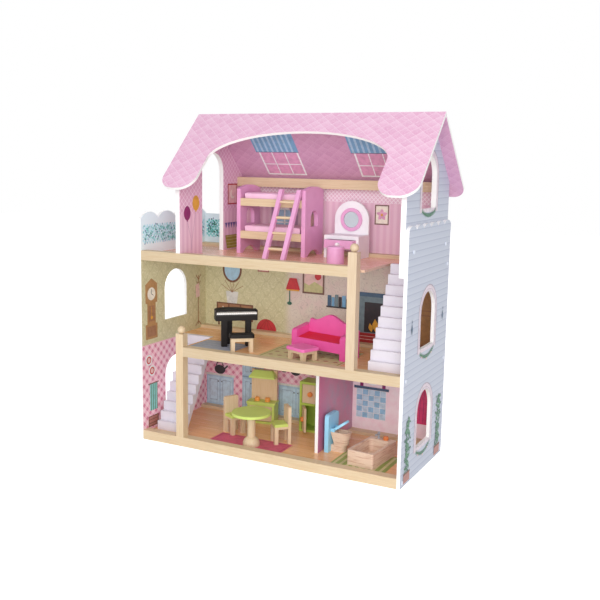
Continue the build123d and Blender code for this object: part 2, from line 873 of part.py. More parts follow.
with BuildPart() as drawer_knob:
    with BuildSketch(facing(vanity_plane, 0, -drawer_open)):
        with Locations((vanity_width / 2, (slot_base + slot_top) / 2)):
            Circle(drawer_knob_radius)
    extrude(amount=drawer_knob_length)
    fillet(edges().group_by(Axis.Y)[0], drawer_knob_round)
finish(drawer_knob, "drawer_knob")

# Vanity stool: a turned drum with a rounded top edge
vanity_stool_x = vanity_x + vanity_width / 2 + vanity_stool_aside
vanity_stool_y = vanity_y - vanity_stool_ahead
with BuildPart() as vanity_stool:
    with BuildSketch(standing(vanity_stool_x, vanity_stool_y, floors[2])):
        Circle(vanity_stool_radius)
    extrude(amount=vanity_stool_height)
    fillet(edges().group_by(Axis.Z)[-1], vanity_stool_round)
finish(vanity_stool, "vanity_stool")

# Piano: origin at the keyboard's front left corner; the case has a grand's bent side and tail
piano_plane = standing(
    -notch_x + piano_notch_gap, bar_front_y + piano_bar_gap, floors[1], piano_turn
)
key_bed = piano_leg_height + piano_case_height - piano_key_drop
with BuildPart() as piano_body:
    with BuildSketch(piano_plane.offset(piano_leg_height)):
        with BuildLine():
            Polyline((0, piano_bass_depth), (0, 0), (piano_width, 0), (piano_width, piano_treble_depth))
            Bezier(
                (piano_width, piano_treble_depth),
                (piano_bend_x, piano_treble_depth),
                (piano_bend_x, piano_depth),
                (piano_tail_x, piano_depth),
            )
            ThreePointArc(
                (piano_tail_x, piano_depth),
                (piano_tail_bulge_x, piano_tail_bulge_y),
                (0, piano_bass_depth),
            )
        make_face()
    extrude(amount=piano_case_height)
    with BuildSketch(piano_plane.offset(key_bed)):
        span(piano_cheek, piano_width - piano_cheek, 0, piano_key_depth)
    extrude(amount=piano_key_drop, mode=Mode.SUBTRACT)
    leg_x = piano_leg_inset + piano_leg_size / 2
    leg_y = piano_leg_setback + piano_leg_size / 2
    with BuildSketch(piano_plane):
        with Locations(
            (leg_x, leg_y), (piano_width - leg_x, leg_y), (piano_tail_x, piano_depth - leg_y)
        ):
            Rectangle(piano_leg_size, piano_leg_size)
    extrude(amount=piano_leg_height)
finish(piano_body, "piano_body")

with BuildPart() as piano_keys:
    with BuildSketch(piano_plane.offset(key_bed)):
        span(piano_cheek, piano_width - piano_cheek, 0, piano_key_depth)
    extrude(amount=piano_key_thickness)
finish(piano_keys, "piano_keys")

# Piano bench: four legs under a rail frame, and a rounded seat
bench_spot = piano_plane.from_local_coords((bench_along, -bench_ahead, 0))
bench_plane = standing(bench_spot.X, bench_spot.Y, floors[1], bench_turn)
with BuildPart() as bench_frame:
    with BuildSketch(bench_plane):
        with GridLocations(bench_width - bench_leg, bench_depth - bench_leg, 2, 2):
            Rectangle(bench_leg, bench_leg)
    extrude(amount=bench_frame_height)
    with BuildSketch(bench_plane.offset(bench_frame_height - bench_rail)):
        Rectangle(bench_width, bench_depth)
        Rectangle(bench_width - 2 * bench_leg, bench_depth - 2 * bench_leg, mode=Mode.SUBTRACT)
    extrude(amount=bench_rail)
finish(bench_frame, "bench_frame")

with BuildPart() as bench_seat:
    with BuildSketch(bench_plane.offset(bench_frame_height)):
        RectangleRounded(
            bench_width + 2 * bench_seat_lip, bench_depth + 2 * bench_seat_lip, bench_corner_radius
        )
    extrude(amount=bench_seat_thickness)
    fillet(edges().group_by(Axis.Z)[-1], bench_seat_round)
finish(bench_seat, "bench_seat")

# Sofa: origin at the middle of its front edge; side panels, a curved back and a front rail
sofa_plane = standing(sofa_middle_x, bar_front_y + sofa_bar_gap, floors[1], sofa_turn)
sofa_half = sofa_width / 2
arm_gap = sofa_width - 2 * sofa_arm_thickness
with BuildPart() as sofa_frame:
    for arm_x in (-sofa_half, sofa_half - sofa_arm_thickness):
        with BuildSketch(profile(sofa_plane, arm_x)):
            with BuildLine():
                Polyline(
                    (0, 0),
                    (0, sofa_arm_front_height),
                    (sofa_depth, sofa_arm_rear_height),
                    (sofa_depth, 0),
                    close=True,
                )
            make_face()
            fillet(vertices().sort_by(Axis.Y)[-2:].sort_by(Axis.X)[0], sofa_arm_round)
            with BuildLine():
                foot_arch = ThreePointArc(
                    (sofa_foot_arch_inset, 0),
                    (sofa_depth / 2, sofa_foot_arch_height),
                    (sofa_depth - sofa_foot_arch_inset, 0),
                )
                Line(foot_arch @ 0, foot_arch @ 1)
            make_face(mode=Mode.SUBTRACT)
        extrude(amount=sofa_arm_thickness)
    with BuildSketch(facing(sofa_plane, 0, sofa_depth - sofa_back_thickness)):
        with BuildLine():
            crest = Spline(
                (-sofa_shoulder_x, sofa_shoulder_height),
                (-sofa_dip_x, sofa_dip_height),
                (0, sofa_crest_height),
                (sofa_dip_x, sofa_dip_height),
                (sofa_shoulder_x, sofa_shoulder_height),
            )
            Polyline(
                crest @ 0,
                (sofa_arm_thickness - sofa_half, sofa_arm_rear_height),
                (sofa_arm_thickness - sofa_half, sofa_back_base),
                (sofa_half - sofa_arm_thickness, sofa_back_base),
                (sofa_half - sofa_arm_thickness, sofa_arm_rear_height),
                crest @ 1,
            )
        make_face()
    extrude(amount=-sofa_back_thickness)
    rail_base = sofa_seat_base - sofa_rail_height
    ledge_y = sofa_rail_thickness + sofa_ledge_depth
    with BuildSketch(profile(sofa_plane, -arm_gap / 2)):
        span(0, ledge_y, rail_base, sofa_seat_base)
        span(0, sofa_rail_thickness, sofa_seat_base, sofa_seat_base + sofa_seat_thickness)
    extrude(amount=arm_gap)
finish(sofa_frame, "sofa_frame")

with BuildPart() as sofa_seat:
    seat_half = arm_gap / 2 - sofa_seat_gap
    seat_front_y = sofa_rail_thickness + sofa_seat_gap
    seat_rear_y = sofa_depth - sofa_back_thickness - sofa_seat_gap
    with BuildSketch(profile(sofa_plane, -seat_half)):
        with BuildLine():
            Polyline(
                (seat_front_y, sofa_seat_base),
                (seat_rear_y, sofa_seat_base),
                (seat_rear_y, sofa_seat_base + sofa_seat_rear_thickness),
                (seat_front_y, sofa_seat_base + sofa_seat_thickness),
                close=True,
            )
        make_face()
    extrude(amount=2 * seat_half)
    fillet(faces().sort_by(Axis.Z)[-1].edges(), sofa_seat_round)
finish(sofa_seat, "sofa_seat")

# Coffee table: rounded top on four boards whose openings leave a leg at each corner
coffee_spot = sofa_plane.from_local_coords((-coffee_aside, -coffee_ahead, 0))
coffee_plane = standing(coffee_spot.X, coffee_spot.Y, floors[1], coffee_turn)
with BuildPart() as coffee_legs:
    legs_width = coffee_width - 2 * coffee_leg_inset
    legs_depth = coffee_depth - 2 * coffee_leg_inset
    with BuildSketch(coffee_plane):
        Rectangle(legs_width, legs_depth)
        Rectangle(
            legs_width - 2 * coffee_leg_thickness, legs_depth - 2 * coffee_leg_thickness, mode=Mode.SUBTRACT
        )
    extrude(amount=coffee_height - coffee_top_thickness)
    for side_plane, side_length in ((facing(coffee_plane), legs_width), (profile(coffee_plane), legs_depth)):
        gap_half_width = side_length / 2 - coffee_leg_width
        with BuildSketch(side_plane):
            span(-gap_half_width, gap_half_width, 0, coffee_gap_height)
            fillet(vertices().group_by(Axis.Y)[-1], coffee_gap_radius)
        extrude(amount=coffee_width, both=True, mode=Mode.SUBTRACT)
finish(coffee_legs, "coffee_legs")

with BuildPart() as coffee_top:
    with BuildSketch(coffee_plane.offset(coffee_height - coffee_top_thickness)):
        RectangleRounded(coffee_width, coffee_depth, coffee_corner_radius)
    extrude(amount=coffee_top_thickness)
    fillet(edges().group_by(Axis.Z)[-1], coffee_top_round)
finish(coffee_top, "coffee_top")

# Cupboard: origin at the front left corner of its footprint
cupboard_y = bar_rear_y - cupboard_rear_gap - cupboard_depth
cupboard_plane = standing(cupboard_x, cupboard_y, floors[0])
door_width = cupboard_width - 2 * cupboard_wall - 2 * cupboard_door_gap
hinge_x = cupboard_wall + cupboard_door_gap + cupboard_door_thickness / 2
hinge_y = cupboard_door_thickness / 2
compartments = [
    (cupboard_wall, cupboard_shelf_base),
    (cupboard_shelf_base + cupboard_wall, cupboard_height - cupboard_wall),
]
with BuildPart() as cupboard_body:
    with BuildSketch(cupboard_plane):
        span(0, cupboard_width, 0, cupboard_depth)
    extrude(amount=cupboard_height)
    for low, high in compartments:
        with BuildSketch(facing(cupboard_plane)):
            span(cupboard_wall, cupboard_width - cupboard_wall, low, high)
        extrude(amount=cupboard_wall - cupboard_depth, mode=Mode.SUBTRACT)
        with BuildSketch(cupboard_plane.offset(low - peg_length)):
            with Locations((hinge_x, hinge_y)):
                Circle(peg_radius + peg_clearance)
        extrude(amount=high - low + 2 * peg_length, mode=Mode.SUBTRACT)
finish(cupboard_body, "cupboard_body")


def cupboard_door(low, high, turn):
    """Door with a round hinge edge on two pegs and a knob, turned about its hinge line."""
    spot = cupboard_plane.from_local_coords((hinge_x, hinge_y, low + cupboard_door_gap))
    door_plane = standing(spot.X, spot.Y, spot.Z, turn)
    height = high - low - 2 * cupboard_door_gap
    half = cupboard_door_thickness / 2
    with BuildPart() as door:
        with BuildSketch(door_plane):
            Circle(half)
            span(0, door_width - half, -half, half)
        extrude(amount=height)
        with BuildSketch(door_plane.offset(-peg_length)):
            Circle(peg_radius)
        extrude(amount=height + 2 * peg_length)
        with BuildSketch(facing(door_plane, door_width - half - knob_edge, -half)):
            with Locations((0, height / 2)):
                Circle(knob_radius)
        extrude(amount=knob_length)
        knob_face = faces().sort_by(Axis(door_plane.origin, door_plane.y_dir))[0]
        fillet(knob_face.edges(), knob_round)
    return door


finish(cupboard_door(*compartments[0], -cupboard_door_open), "cupboard_lower_door")
finish(cupboard_door(*compartments[1], 0), "cupboard_upper_door")

# Stove: origin at the front left corner of its footprint
stove_x = cupboard_x - stove_cupboard_gap
stove_angle = math.radians(stove_turn)
stove_reach = stove_depth * math.cos(stove_angle) + stove_width * math.sin(stove_angle)
stove_y = bar_rear_y - stove_rear_gap - stove_reach
stove_plane = standing(stove_x, stove_y, floors[0], stove_turn)
oven_top = stove_height - stove_counter - stove_front_rail
oven_width = stove_width - 2 * stove_side
oven_hinge_y = oven_door_thickness / 2
oven_hinge_z = stove_plinth + oven_door_gap + oven_door_thickness / 2
with BuildPart() as stove_body:
    with BuildSketch(stove_plane):
        span(0, stove_width, 0, stove_depth)
    extrude(amount=stove_height)
    with BuildSketch(stove_plane.offset(stove_height - stove_counter)):
        span(-stove_counter_lip, stove_width + stove_counter_lip, -stove_counter_lip, stove_depth)
    extrude(amount=stove_counter)
    with BuildSketch(facing(stove_plane)):
        span(stove_side, stove_side + oven_width, stove_plinth, oven_top)
    extrude(amount=stove_back - stove_depth, mode=Mode.SUBTRACT)
    with BuildSketch(profile(stove_plane, stove_side - peg_length)):
        with Locations((oven_hinge_y, oven_hinge_z)):
            Circle(peg_radius + peg_clearance)
    extrude(amount=oven_width + 2 * peg_length, mode=Mode.SUBTRACT)
finish(stove_body, "stove_body")

# Oven door: round lower edge on two pegs
with BuildPart() as oven_door:
    oven_door_width = oven_width - 2 * oven_door_gap
    with BuildSketch(profile(stove_plane, stove_side + oven_door_gap)):
        span(0, oven_door_thickness, oven_hinge_z, oven_top - oven_door_gap)
        with Locations((oven_hinge_y, oven_hinge_z)):
            Circle(oven_door_thickness / 2)
    extrude(amount=oven_door_width)
    with BuildSketch(profile(stove_plane, stove_side + oven_door_gap - peg_length)):
        with Locations((oven_hinge_y, oven_hinge_z)):
            Circle(peg_radius)
    extrude(amount=oven_door_width + 2 * peg_length)
finish(oven_door, "oven_door")

with BuildPart() as stove_board:
    with BuildSketch(facing(stove_plane, 0, stove_depth - stove_board_thickness)):
        span(stove_board_margin, stove_width - stove_board_margin, stove_height, stove_board_height)
    extrude(amount=-stove_board_thickness)
finish(stove_board, "stove_board")

# Hood: an upright lip under a sloped cap, fixed to the front of the board
with BuildPart() as stove_hood:
    hood_x0 = stove_board_margin
    hood_x1 = stove_width - stove_board_margin
    hood_y1 = stove_depth - stove_board_thickness
    hood_base = stove_board_height - hood_height
    with BuildSketch(stove_plane.offset(hood_base)):
        span(hood_x0, hood_x1, hood_y1 - hood_depth, hood_y1)
    extrude(amount=hood_lip)
    with BuildSketch(stove_plane.offset(hood_base + hood_lip)):
        span(hood_x0, hood_x1, hood_y1 - hood_depth, hood_y1)
    with BuildSketch(stove_plane.offset(stove_board_height)):
        span(hood_x0 + hood_slope_inset, hood_x1 - hood_slope_inset, hood_y1 - hood_top_depth, hood_y1)
    loft()
finish(stove_hood, "stove_hood")

with BuildPart() as hob_knobs:
    with BuildSketch(stove_plane.offset(stove_height)):
        with Locations(
            (stove_width / 2 - hob_spacing / 2, hob_setback),
            (stove_width / 2 + hob_spacing / 2, hob_setback),
        ):
            Circle(hob_radius)
    extrude(amount=hob_height)
    fillet(edges().group_by(Axis.Z)[-1], hob_round)
finish(hob_knobs, "hob_knobs")

# Dining table: round top on a turned pedestal with a domed foot
table_x = cupboard_x - table_cupboard_aside
table_y = bar_front_y + table_bar_gap
table_plane = standing(table_x, table_y, floors[0])
column_top = table_height - table_top_thickness
dome_side = table_foot_radius * math.sqrt(0.5)
dome_top = table_foot_rim + math.sqrt(table_foot_radius**2 - table_column_radius**2)
with BuildPart() as table_pedestal:
    with BuildSketch(facing(table_plane)):
        with BuildLine():
            Polyline((0, 0), (table_foot_radius, 0), (table_foot_radius, table_foot_rim))
            ThreePointArc(
                (table_foot_radius, table_foot_rim),
                (dome_side, table_foot_rim + dome_side),
                (table_column_radius, dome_top),
            )
            Polyline(
                (table_column_radius, dome_top),
                (table_column_radius, column_top),
                (0, column_top),
                (0, 0),
            )
        make_face()
    revolve(axis=Axis(table_plane.origin, (0, 0, 1)))
finish(table_pedestal, "table_pedestal")

with BuildPart() as table_top:
    with BuildSketch(table_plane.offset(column_top)):
        Circle(table_radius)
    extrude(amount=table_top_thickness)
    fillet(edges().group_by(Axis.Z)[-1], table_top_round)
finish(table_top, "table_top")

# Chairs: a back that runs down as the rear legs, a seat board on two front legs, a painted seat
chair_board_base = chair_seat_height - chair_seat_thickness - chair_board_thickness
chair_back_y = chair_depth / 2 - chair_back_thickness
chairs = [
    ("left_chair", standing(table_x + left_chair_x, table_y + left_chair_y, floors[0], left_chair_turn)),
    ("right_chair", standing(table_x + right_chair_x, table_y + right_chair_y, floors[0], right_chair_turn)),
]
for chair_name, chair_plane in chairs:
    chair_half = chair_width / 2
    with BuildPart() as chair_frame:
        with BuildSketch(facing(chair_plane, 0, chair_back_y)):
            span(-chair_half, chair_half, 0, chair_back_height)
            fillet(vertices().group_by(Axis.Y)[-1], chair_corner_radius)
            span(-chair_half + chair_leg, chair_half - chair_leg, 0, chair_board_base, Mode.SUBTRACT)
        extrude(amount=-chair_back_thickness)
        with BuildSketch(chair_plane.offset(chair_board_base)):
            span(-chair_half, chair_half, -chair_depth / 2, chair_back_y)
        extrude(amount=chair_board_thickness)
        with BuildSketch(chair_plane):
            for side in (-1, 1):
                with Locations((side * (chair_half - chair_leg / 2), chair_leg / 2 - chair_depth / 2)):
                    Rectangle(chair_leg, chair_leg)
        extrude(amount=chair_board_base)
    finish(chair_frame, f"{chair_name}_frame")
    with BuildPart() as chair_seat:
        with BuildSketch(chair_plane.offset(chair_board_base + chair_board_thickness)):
            span(-chair_half, chair_half, -chair_depth / 2, chair_back_y)
        extrude(amount=chair_seat_thickness)
        fillet(edges().group_by(Axis.Z)[-1], chair_seat_round)
    finish(chair_seat, f"{chair_name}_seat")

# Toilet: origin at the middle of the board's rear face; the bowl points to the right
toilet_plane = standing(partition_x + toilet_partition_gap, bar_front_y + toilet_bar_gap, floors[0])
lid_hinge_x = toilet_board_thickness + lug_size / 2
lid_hinge_z = bowl_rim_height + lid_rim_gap + lid_barrel_radius
barrel_half = lid_barrel_length / 2
lug_end_x = lid_hinge_x + lug_size / 2
lug_top_z = lid_hinge_z + lug_size / 2


def rounded_tongue(x0, x1, width, mode=Mode.ADD):
    """Strip along X with a half-round far end."""
    span(x0, x1 - width / 2, -width / 2, width / 2, mode)
    with Locations((x1 - width / 2, 0)):
        Circle(width / 2, mode=mode)


with BuildPart() as toilet_back:
    with BuildSketch(profile(toilet_plane)):
        span(-toilet_board_width / 2, toilet_board_width / 2, 0, toilet_board_height)
        fillet(vertices().group_by(Axis.Y)[-1], toilet_board_radius)
    extrude(amount=toilet_board_thickness)
    for side in (-1, 1):
        lug_y = side * (barrel_half + lug_gap + lug_thickness / 2)
        with BuildSketch(facing(toilet_plane, 0, lug_y)):
            span(toilet_board_thickness, lug_end_x, bowl_rim_height, lug_top_z)
            with Locations((lid_hinge_x, lid_hinge_z)):
                Circle(peg_radius + peg_clearance, mode=Mode.SUBTRACT)
        extrude(amount=lug_thickness / 2, both=True)
finish(toilet_back, "toilet_back")

with BuildPart() as toilet_bowl:
    bowl_end = toilet_board_thickness + bowl_length
    with BuildSketch(toilet_plane.offset(bowl_rim_height)):
        rounded_tongue(toilet_board_thickness, bowl_end, bowl_width)
    extrude(amount=bowl_under - bowl_rim_height, taper=bowl_taper)
    with BuildSketch(toilet_plane):
        rounded_tongue(toilet_board_thickness, toilet_board_thickness + bowl_foot_length, bowl_foot_width)
    extrude(amount=bowl_under)
    with BuildSketch(toilet_plane.offset(bowl_rim_height)):
        rounded_tongue(lug_end_x, bowl_end - bowl_wall, bowl_width - 2 * bowl_wall)
    extrude(amount=-bowl_hollow, taper=bowl_taper, mode=Mode.SUBTRACT)
finish(toilet_bowl, "toilet_bowl")

# Lid: a barrel on two pins and a plate, drawn at the angle it stands ajar
lid_angle = math.radians(lid_open)
lid_plane = Plane(
    toilet_plane.from_local_coords((lid_hinge_x, 0, lid_hinge_z)),
    x_dir=(math.cos(lid_angle), 0, math.sin(lid_angle)),
    z_dir=(-math.sin(lid_angle), 0, math.cos(lid_angle)),
)
with BuildPart() as toilet_lid:
    with BuildSketch(lid_plane):
        span(0, lid_neck, -barrel_half, barrel_half)
        rounded_tongue(lid_neck, lid_length, bowl_width - 2 * lid_side_inset)
    extrude(amount=lid_thickness / 2, both=True)
    with BuildSketch(facing(toilet_plane, lid_hinge_x)):
        with Locations((0, lid_hinge_z)):
            Circle(lid_barrel_radius)
    extrude(amount=barrel_half, both=True)
    with BuildSketch(facing(toilet_plane, lid_hinge_x)):
        with Locations((0, lid_hinge_z)):
            Circle(peg_radius)
    extrude(amount=barrel_half + lug_gap + peg_length, both=True)
finish(toilet_lid, "toilet_lid")

# Bathtub: a block with a tapered hollow and a deck for the tap at its rear end
tub_plane = standing(inner_x - tub_wall_gap, bar_front_y + tub_bar_gap, floors[0], tub_turn)
with BuildPart() as bathtub:
    with BuildSketch(tub_plane):
        RectangleRounded(tub_width, tub_length, tub_corner_radius)
    extrude(amount=tub_height)
    with BuildSketch(tub_plane.offset(tub_height)):
        hollow_length = tub_length - tub_wall - tub_deck
        with Locations((0, (tub_wall - tub_deck) / 2)):
            RectangleRounded(tub_width - 2 * tub_wall, hollow_length, tub_hollow_radius)
    extrude(amount=tub_floor - tub_height, taper=tub_hollow_taper, mode=Mode.SUBTRACT)
finish(bathtub, "bathtub")

# Tap and its knob on the tub's deck
with BuildPart() as bath_taps:
    deck_y = tub_length / 2 - tub_deck / 2
    with BuildSketch(tub_plane.offset(tub_height)):
        with Locations((-tap_spacing / 2, deck_y)):
            Circle(tap_radius)
    extrude(amount=tap_height)
    with BuildSketch(facing(tub_plane, -tap_spacing / 2, deck_y)):
        with Locations((0, tub_height + tap_height - tap_spout_drop)):
            Circle(tap_spout_radius)
    extrude(amount=tap_spout)
    with BuildSketch(tub_plane.offset(tub_height)):
        with Locations((tap_spacing / 2, deck_y)):
            Circle(tap_knob_radius)
    extrude(amount=tap_knob_height)
    fillet(edges(Select.LAST).group_by(Axis.Z)[-1], tap_knob_round)
finish(bath_taps, "bath_taps")
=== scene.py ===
import math
import random

import bmesh
import bpy
from mathutils import Matrix, Vector


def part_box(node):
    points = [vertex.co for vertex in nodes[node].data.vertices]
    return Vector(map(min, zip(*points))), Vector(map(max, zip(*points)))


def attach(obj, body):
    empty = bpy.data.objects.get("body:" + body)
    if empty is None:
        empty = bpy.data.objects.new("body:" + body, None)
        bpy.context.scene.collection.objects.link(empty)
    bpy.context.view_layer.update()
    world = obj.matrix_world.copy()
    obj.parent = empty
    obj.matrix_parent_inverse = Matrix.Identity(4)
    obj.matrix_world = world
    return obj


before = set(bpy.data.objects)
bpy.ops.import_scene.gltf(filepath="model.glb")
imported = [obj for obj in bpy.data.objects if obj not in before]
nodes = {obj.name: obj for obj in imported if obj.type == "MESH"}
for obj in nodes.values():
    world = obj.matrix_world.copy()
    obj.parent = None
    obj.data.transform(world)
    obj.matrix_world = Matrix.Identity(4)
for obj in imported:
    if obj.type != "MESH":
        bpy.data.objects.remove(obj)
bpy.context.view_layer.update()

# Places are in millimetres. X counts from midway between the side walls, middle_x left of the origin.
middle_x = 8.75
millimetre = 0.001
root_half = math.sqrt(0.5)

# House faces that carry prints
wall_in = 293.0
wall_out = 300.0
gable_left_in = -194.0
gable_right_out = 293.0
back_face = 122.0
ground_floor = 13.0
living_floor = 209.5
ridge_in = 691.5

# Lines where one printed paper meets another
storey_splits = (206.0, 403.0)
bathroom_edge = 91.0
balcony_edge = -199.0
balcony_fade = (413.0, 500.0)
olive_fade = (-84.0, -60.0)
gable_dado = (486.0, 500.0)
lattice_foot = 519.0
partition_fade = (-70.0, 20.0)

# Periods of the printed patterns
lap_height = 13.1
check_period = 21.0
ogee_period = 34.0
stripe_period = 15.0
border_period = 9.0
gable_period = 13.0
shingle_width = 24.0
shingle_height = 21.0
plank_width = 21.0
plank_length = 150.0
plank_stagger = 160.0

# Turned furniture, and where a piece's paint changes
door_half = 2.5
cupboard_hinge = (2.1, 62.5)
lower_door_turn = math.radians(55.0)
oven_turn = math.radians(10.0)
piano_turn = math.radians(40.0)
key_width = 4.6
key_depth = 3.4
tap_divide = 210.0

along_x = to_right = (1.0, 0.0, 0.0)
along_y = to_back = (0.0, 1.0, 0.0)
along_z = to_top = (0.0, 0.0, 1.0)
to_left = (-1.0, 0.0, 0.0)
to_front = (0.0, -1.0, 0.0)


def ink(red, green, blue):
    """A linear colour from sRGB values of 0 to 255."""
    def linear(value):
        share = value / 255
        return share / 12.92 if share <= 0.04045 else ((share + 0.055) / 1.055) ** 2.4

    return (linear(red), linear(green), linear(blue), 1.0)


class Paint:
    """A procedural material in the making. Its methods add nodes and return their sockets."""

    def __init__(self, name, roughness=0.5):
        self.material = bpy.data.materials.new(name)
        self.material.use_nodes = True
        self.tree = self.material.node_tree
        self.shader = self.tree.nodes["Principled BSDF"]
        self.shader.inputs["Roughness"].default_value = roughness
        coordinates = self.add("ShaderNodeTexCoord").outputs
        terms = (coordinates["Object"], (1 / millimetre,) * 3, (middle_x, 0.0, 0.0))
        self.place = self.add("ShaderNodeVectorMath", *terms, operation="MULTIPLY_ADD").outputs["Vector"]
        self.x, self.y, self.z = self.add("ShaderNodeSeparateXYZ", self.place).outputs
        self.normal = coordinates["Normal"]

    def add(self, kind, *values, **settings):
        """A new node with its first sockets fed in order."""
        node = self.tree.nodes.new(kind)
        for key, value in settings.items():
            setattr(node, key, value)
        for socket, value in zip([socket for socket in node.inputs if socket.enabled], values):
            self.feed(socket, value)
        return node

    def feed(self, socket, value):
        if isinstance(value, bpy.types.NodeSocket):
            self.tree.links.new(value, socket)
        else:
            socket.default_value = value

    def math(self, operation, *values):
        return self.add("ShaderNodeMath", *values, operation=operation).outputs["Value"]

    def dot(self, vector, direction):
        return self.add("ShaderNodeVectorMath", vector, direction, operation="DOT_PRODUCT").outputs["Value"]

    def join(self, x, y, z=0.0):
        return self.add("ShaderNodeCombineXYZ", x, y, z).outputs["Vector"]

    def mix(self, factor, first, second):
        node = self.add("ShaderNodeMix", factor, first, second, data_type="RGBA")
        return next(socket for socket in node.outputs if socket.enabled)

    def tint(self, tone, colour, mask, strength):
        """Takes a tone some of the way to a colour where the mask is one."""
        return self.mix(self.math("MULTIPLY", mask, strength), tone, colour)

    def noise(self, vector, scale, detail=3.0, roughness=0.5):
        return self.add("ShaderNodeTexNoise", vector, scale, detail, roughness).outputs["Fac"]

    def speck(self, vector):
        """A random number for each whole-numbered cell."""
        return self.add("ShaderNodeTexWhiteNoise", vector, noise_dimensions="3D").outputs["Value"]

    def above(self, value, limit):
        return self.math("GREATER_THAN", value, limit)

    def ramp(self, value, low, high):
        """0 below low, 1 above high and smooth between."""
        node = self.add("ShaderNodeMapRange", value, low, high, interpolation_type="SMOOTHSTEP")
        return node.outputs["Result"]

    def cycle(self, value, period):
        """Where value is in its period, from 0 to 1."""
        return self.math("FRACT", self.math("DIVIDE", value, period))

    def off_middle(self, share):
        """How far a share is from one half."""
        return self.math("ABSOLUTE", self.math("SUBTRACT", share, 0.5))

    def line(self, share, half_width):
        """1 near the ends of a cycle."""
        return self.above(self.off_middle(share), 0.5 - half_width)

    def cross(self, first, second, half_width):
        """1 near the ends of either of two cycles."""
        return self.math("MAXIMUM", self.line(first, half_width), self.line(second, half_width))

    def relief(self, height, depth, strength):
        node = self.add("ShaderNodeBump")
        node.inputs["Strength"].default_value = strength
        node.inputs["Distance"].default_value = depth * millimetre
        self.feed(node.inputs["Height"], height)
        self.feed(self.shader.inputs["Normal"], node.outputs["Normal"])

    def roughen(self, value, low, high):
        """Roughness that wanders between two levels."""
        node = self.add("ShaderNodeMapRange", value, 0.0, 1.0, low, high)
        self.feed(self.shader.inputs["Roughness"], node.outputs["Result"])

    def finish(self, colour):
        self.feed(self.shader.inputs["Base Color"], colour)
        return self.material


# Grains: scale across the fibres, scale along them, detail and roughness of the noise
ring_grain = (0.16, 0.006, 4.0, 0.55)
fibre_grain = (1.7, 0.03, 4.0, 0.6)
streak_grain = (0.03, 0.42, 3.0, 0.6)
satin_grain = (1.1, 0.04, 3.0, 0.6)
board_grain = (0.4, 0.02, 3.0, 0.5)
plank_grain = (0.5, 0.012, 4.0, 0.6)


def grain(paint, axis, kind):
    """Noise drawn out along an axis."""
    across_scale, along_scale, detail, roughness = kind
    direction = Vector(axis).normalized()
    side = direction.orthogonal().normalized()
    runs = ((direction, along_scale), (side, across_scale), (direction.cross(side), across_scale))
    parts = [paint.math("MULTIPLY", paint.dot(paint.place, vector), scale) for vector, scale in runs]
    return paint.noise(paint.join(*parts), 1.0, detail, roughness)


pine_light = ink(221, 199, 166)
pine_mid = ink(211, 184, 146)
pine_dark = ink(193, 156, 112)
warm_tone = ink(224, 168, 112)
beech_tone = ink(236, 206, 190)
streak_tone = ink(184, 128, 100)
# Painted shade: duller tones that darken the second and third front bars and the right newel post, though
# they are the same pine as the rest.
bar_shade_tone = ink(165, 150, 124)
post_shade_tone = ink(170, 152, 146)


def fibred(paint, wood, fibres):
    """Dark fibres over a wood colour, and their relief."""
    paint.relief(fibres, depth=0.12, strength=0.5)
    return paint.tint(wood, pine_dark, paint.ramp(fibres, low=0.42, high=0.78), strength=0.5)


def pine(name, axis, toning=0.0, tone=warm_tone, streaks=0.0):
    """Bare wood, its rings and fibres along an axis, taken towards a tone, with level streaks if asked."""
    paint = Paint(name)
    rings_in_noise = 34.0
    rings = paint.math("SINE", paint.math("MULTIPLY", grain(paint, axis, ring_grain), rings_in_noise))
    fibres = grain(paint, axis, fibre_grain)
    colour = paint.tint(pine_light, pine_mid, paint.ramp(rings, low=-0.6, high=1.0), strength=0.55)
    colour = fibred(paint, colour, fibres)
    if toning:
        colour = paint.mix(toning, colour, tone)
    if streaks:
        layers = grain(paint, along_z, streak_grain)
        colour = paint.tint(colour, streak_tone, paint.ramp(layers, low=0.46, high=0.66), streaks)
    paint.roughen(fibres, low=0.42, high=0.62)
    return paint.finish(colour)


def painted(name, colour, shade, gloss=0.36):
    """Satin paint over wood: the grain shows faintly and the colour wanders a little."""
    paint = Paint(name)
    clouds = paint.noise(paint.place, scale=0.035)
    fibres = grain(paint, along_z, satin_grain)
    tone = paint.tint(colour, shade, paint.ramp(clouds, low=0.35, high=0.75), strength=0.45)
    tone = paint.tint(tone, shade, paint.ramp(fibres, low=0.5, high=0.85), strength=0.22)
    peel = paint.noise(paint.place, scale=0.9, detail=2.0)
    height = paint.math("ADD", paint.math("MULTIPLY", fibres, 0.6), paint.math("MULTIPLY", peel, 0.4))
    paint.relief(height, depth=0.08, strength=0.45)
    paint.roughen(peel, low=gloss - 0.05, high=gloss + 0.12)
    return paint.finish(tone)


def board_white(paint):
    """Painted cut edges of a board."""
    patches = paint.noise(paint.place, scale=0.5)
    return paint.tint(ink(250, 249, 248), ink(232, 229, 228), patches, strength=0.5)


def clapboard(paint):
    """Horizontal weatherboards with painted shade: each board is lighter at its foot and darker towards its
    head, with a thin painted shadow under the lap.
    """
    share = paint.cycle(paint.z, lap_height)
    # Painted shade: each board darkens from its foot towards its head.
    tone = paint.mix(share, ink(201, 206, 219), ink(189, 195, 211))
    tone = paint.tint(tone, ink(180, 187, 206), grain(paint, along_y, board_grain), strength=0.35)
    # Painted shadow under each lap.
    return paint.tint(tone, ink(160, 167, 190), paint.line(share, half_width=0.07), strength=0.6)


def diagonals(paint, across, period):
    """Where a place is in two crossed runs of diagonal stripes, each from 0 to 1."""
    rising = paint.cycle(paint.math("ADD", across, paint.z), period)
    falling = paint.cycle(paint.math("SUBTRACT", across, paint.z), period)
    return rising, falling


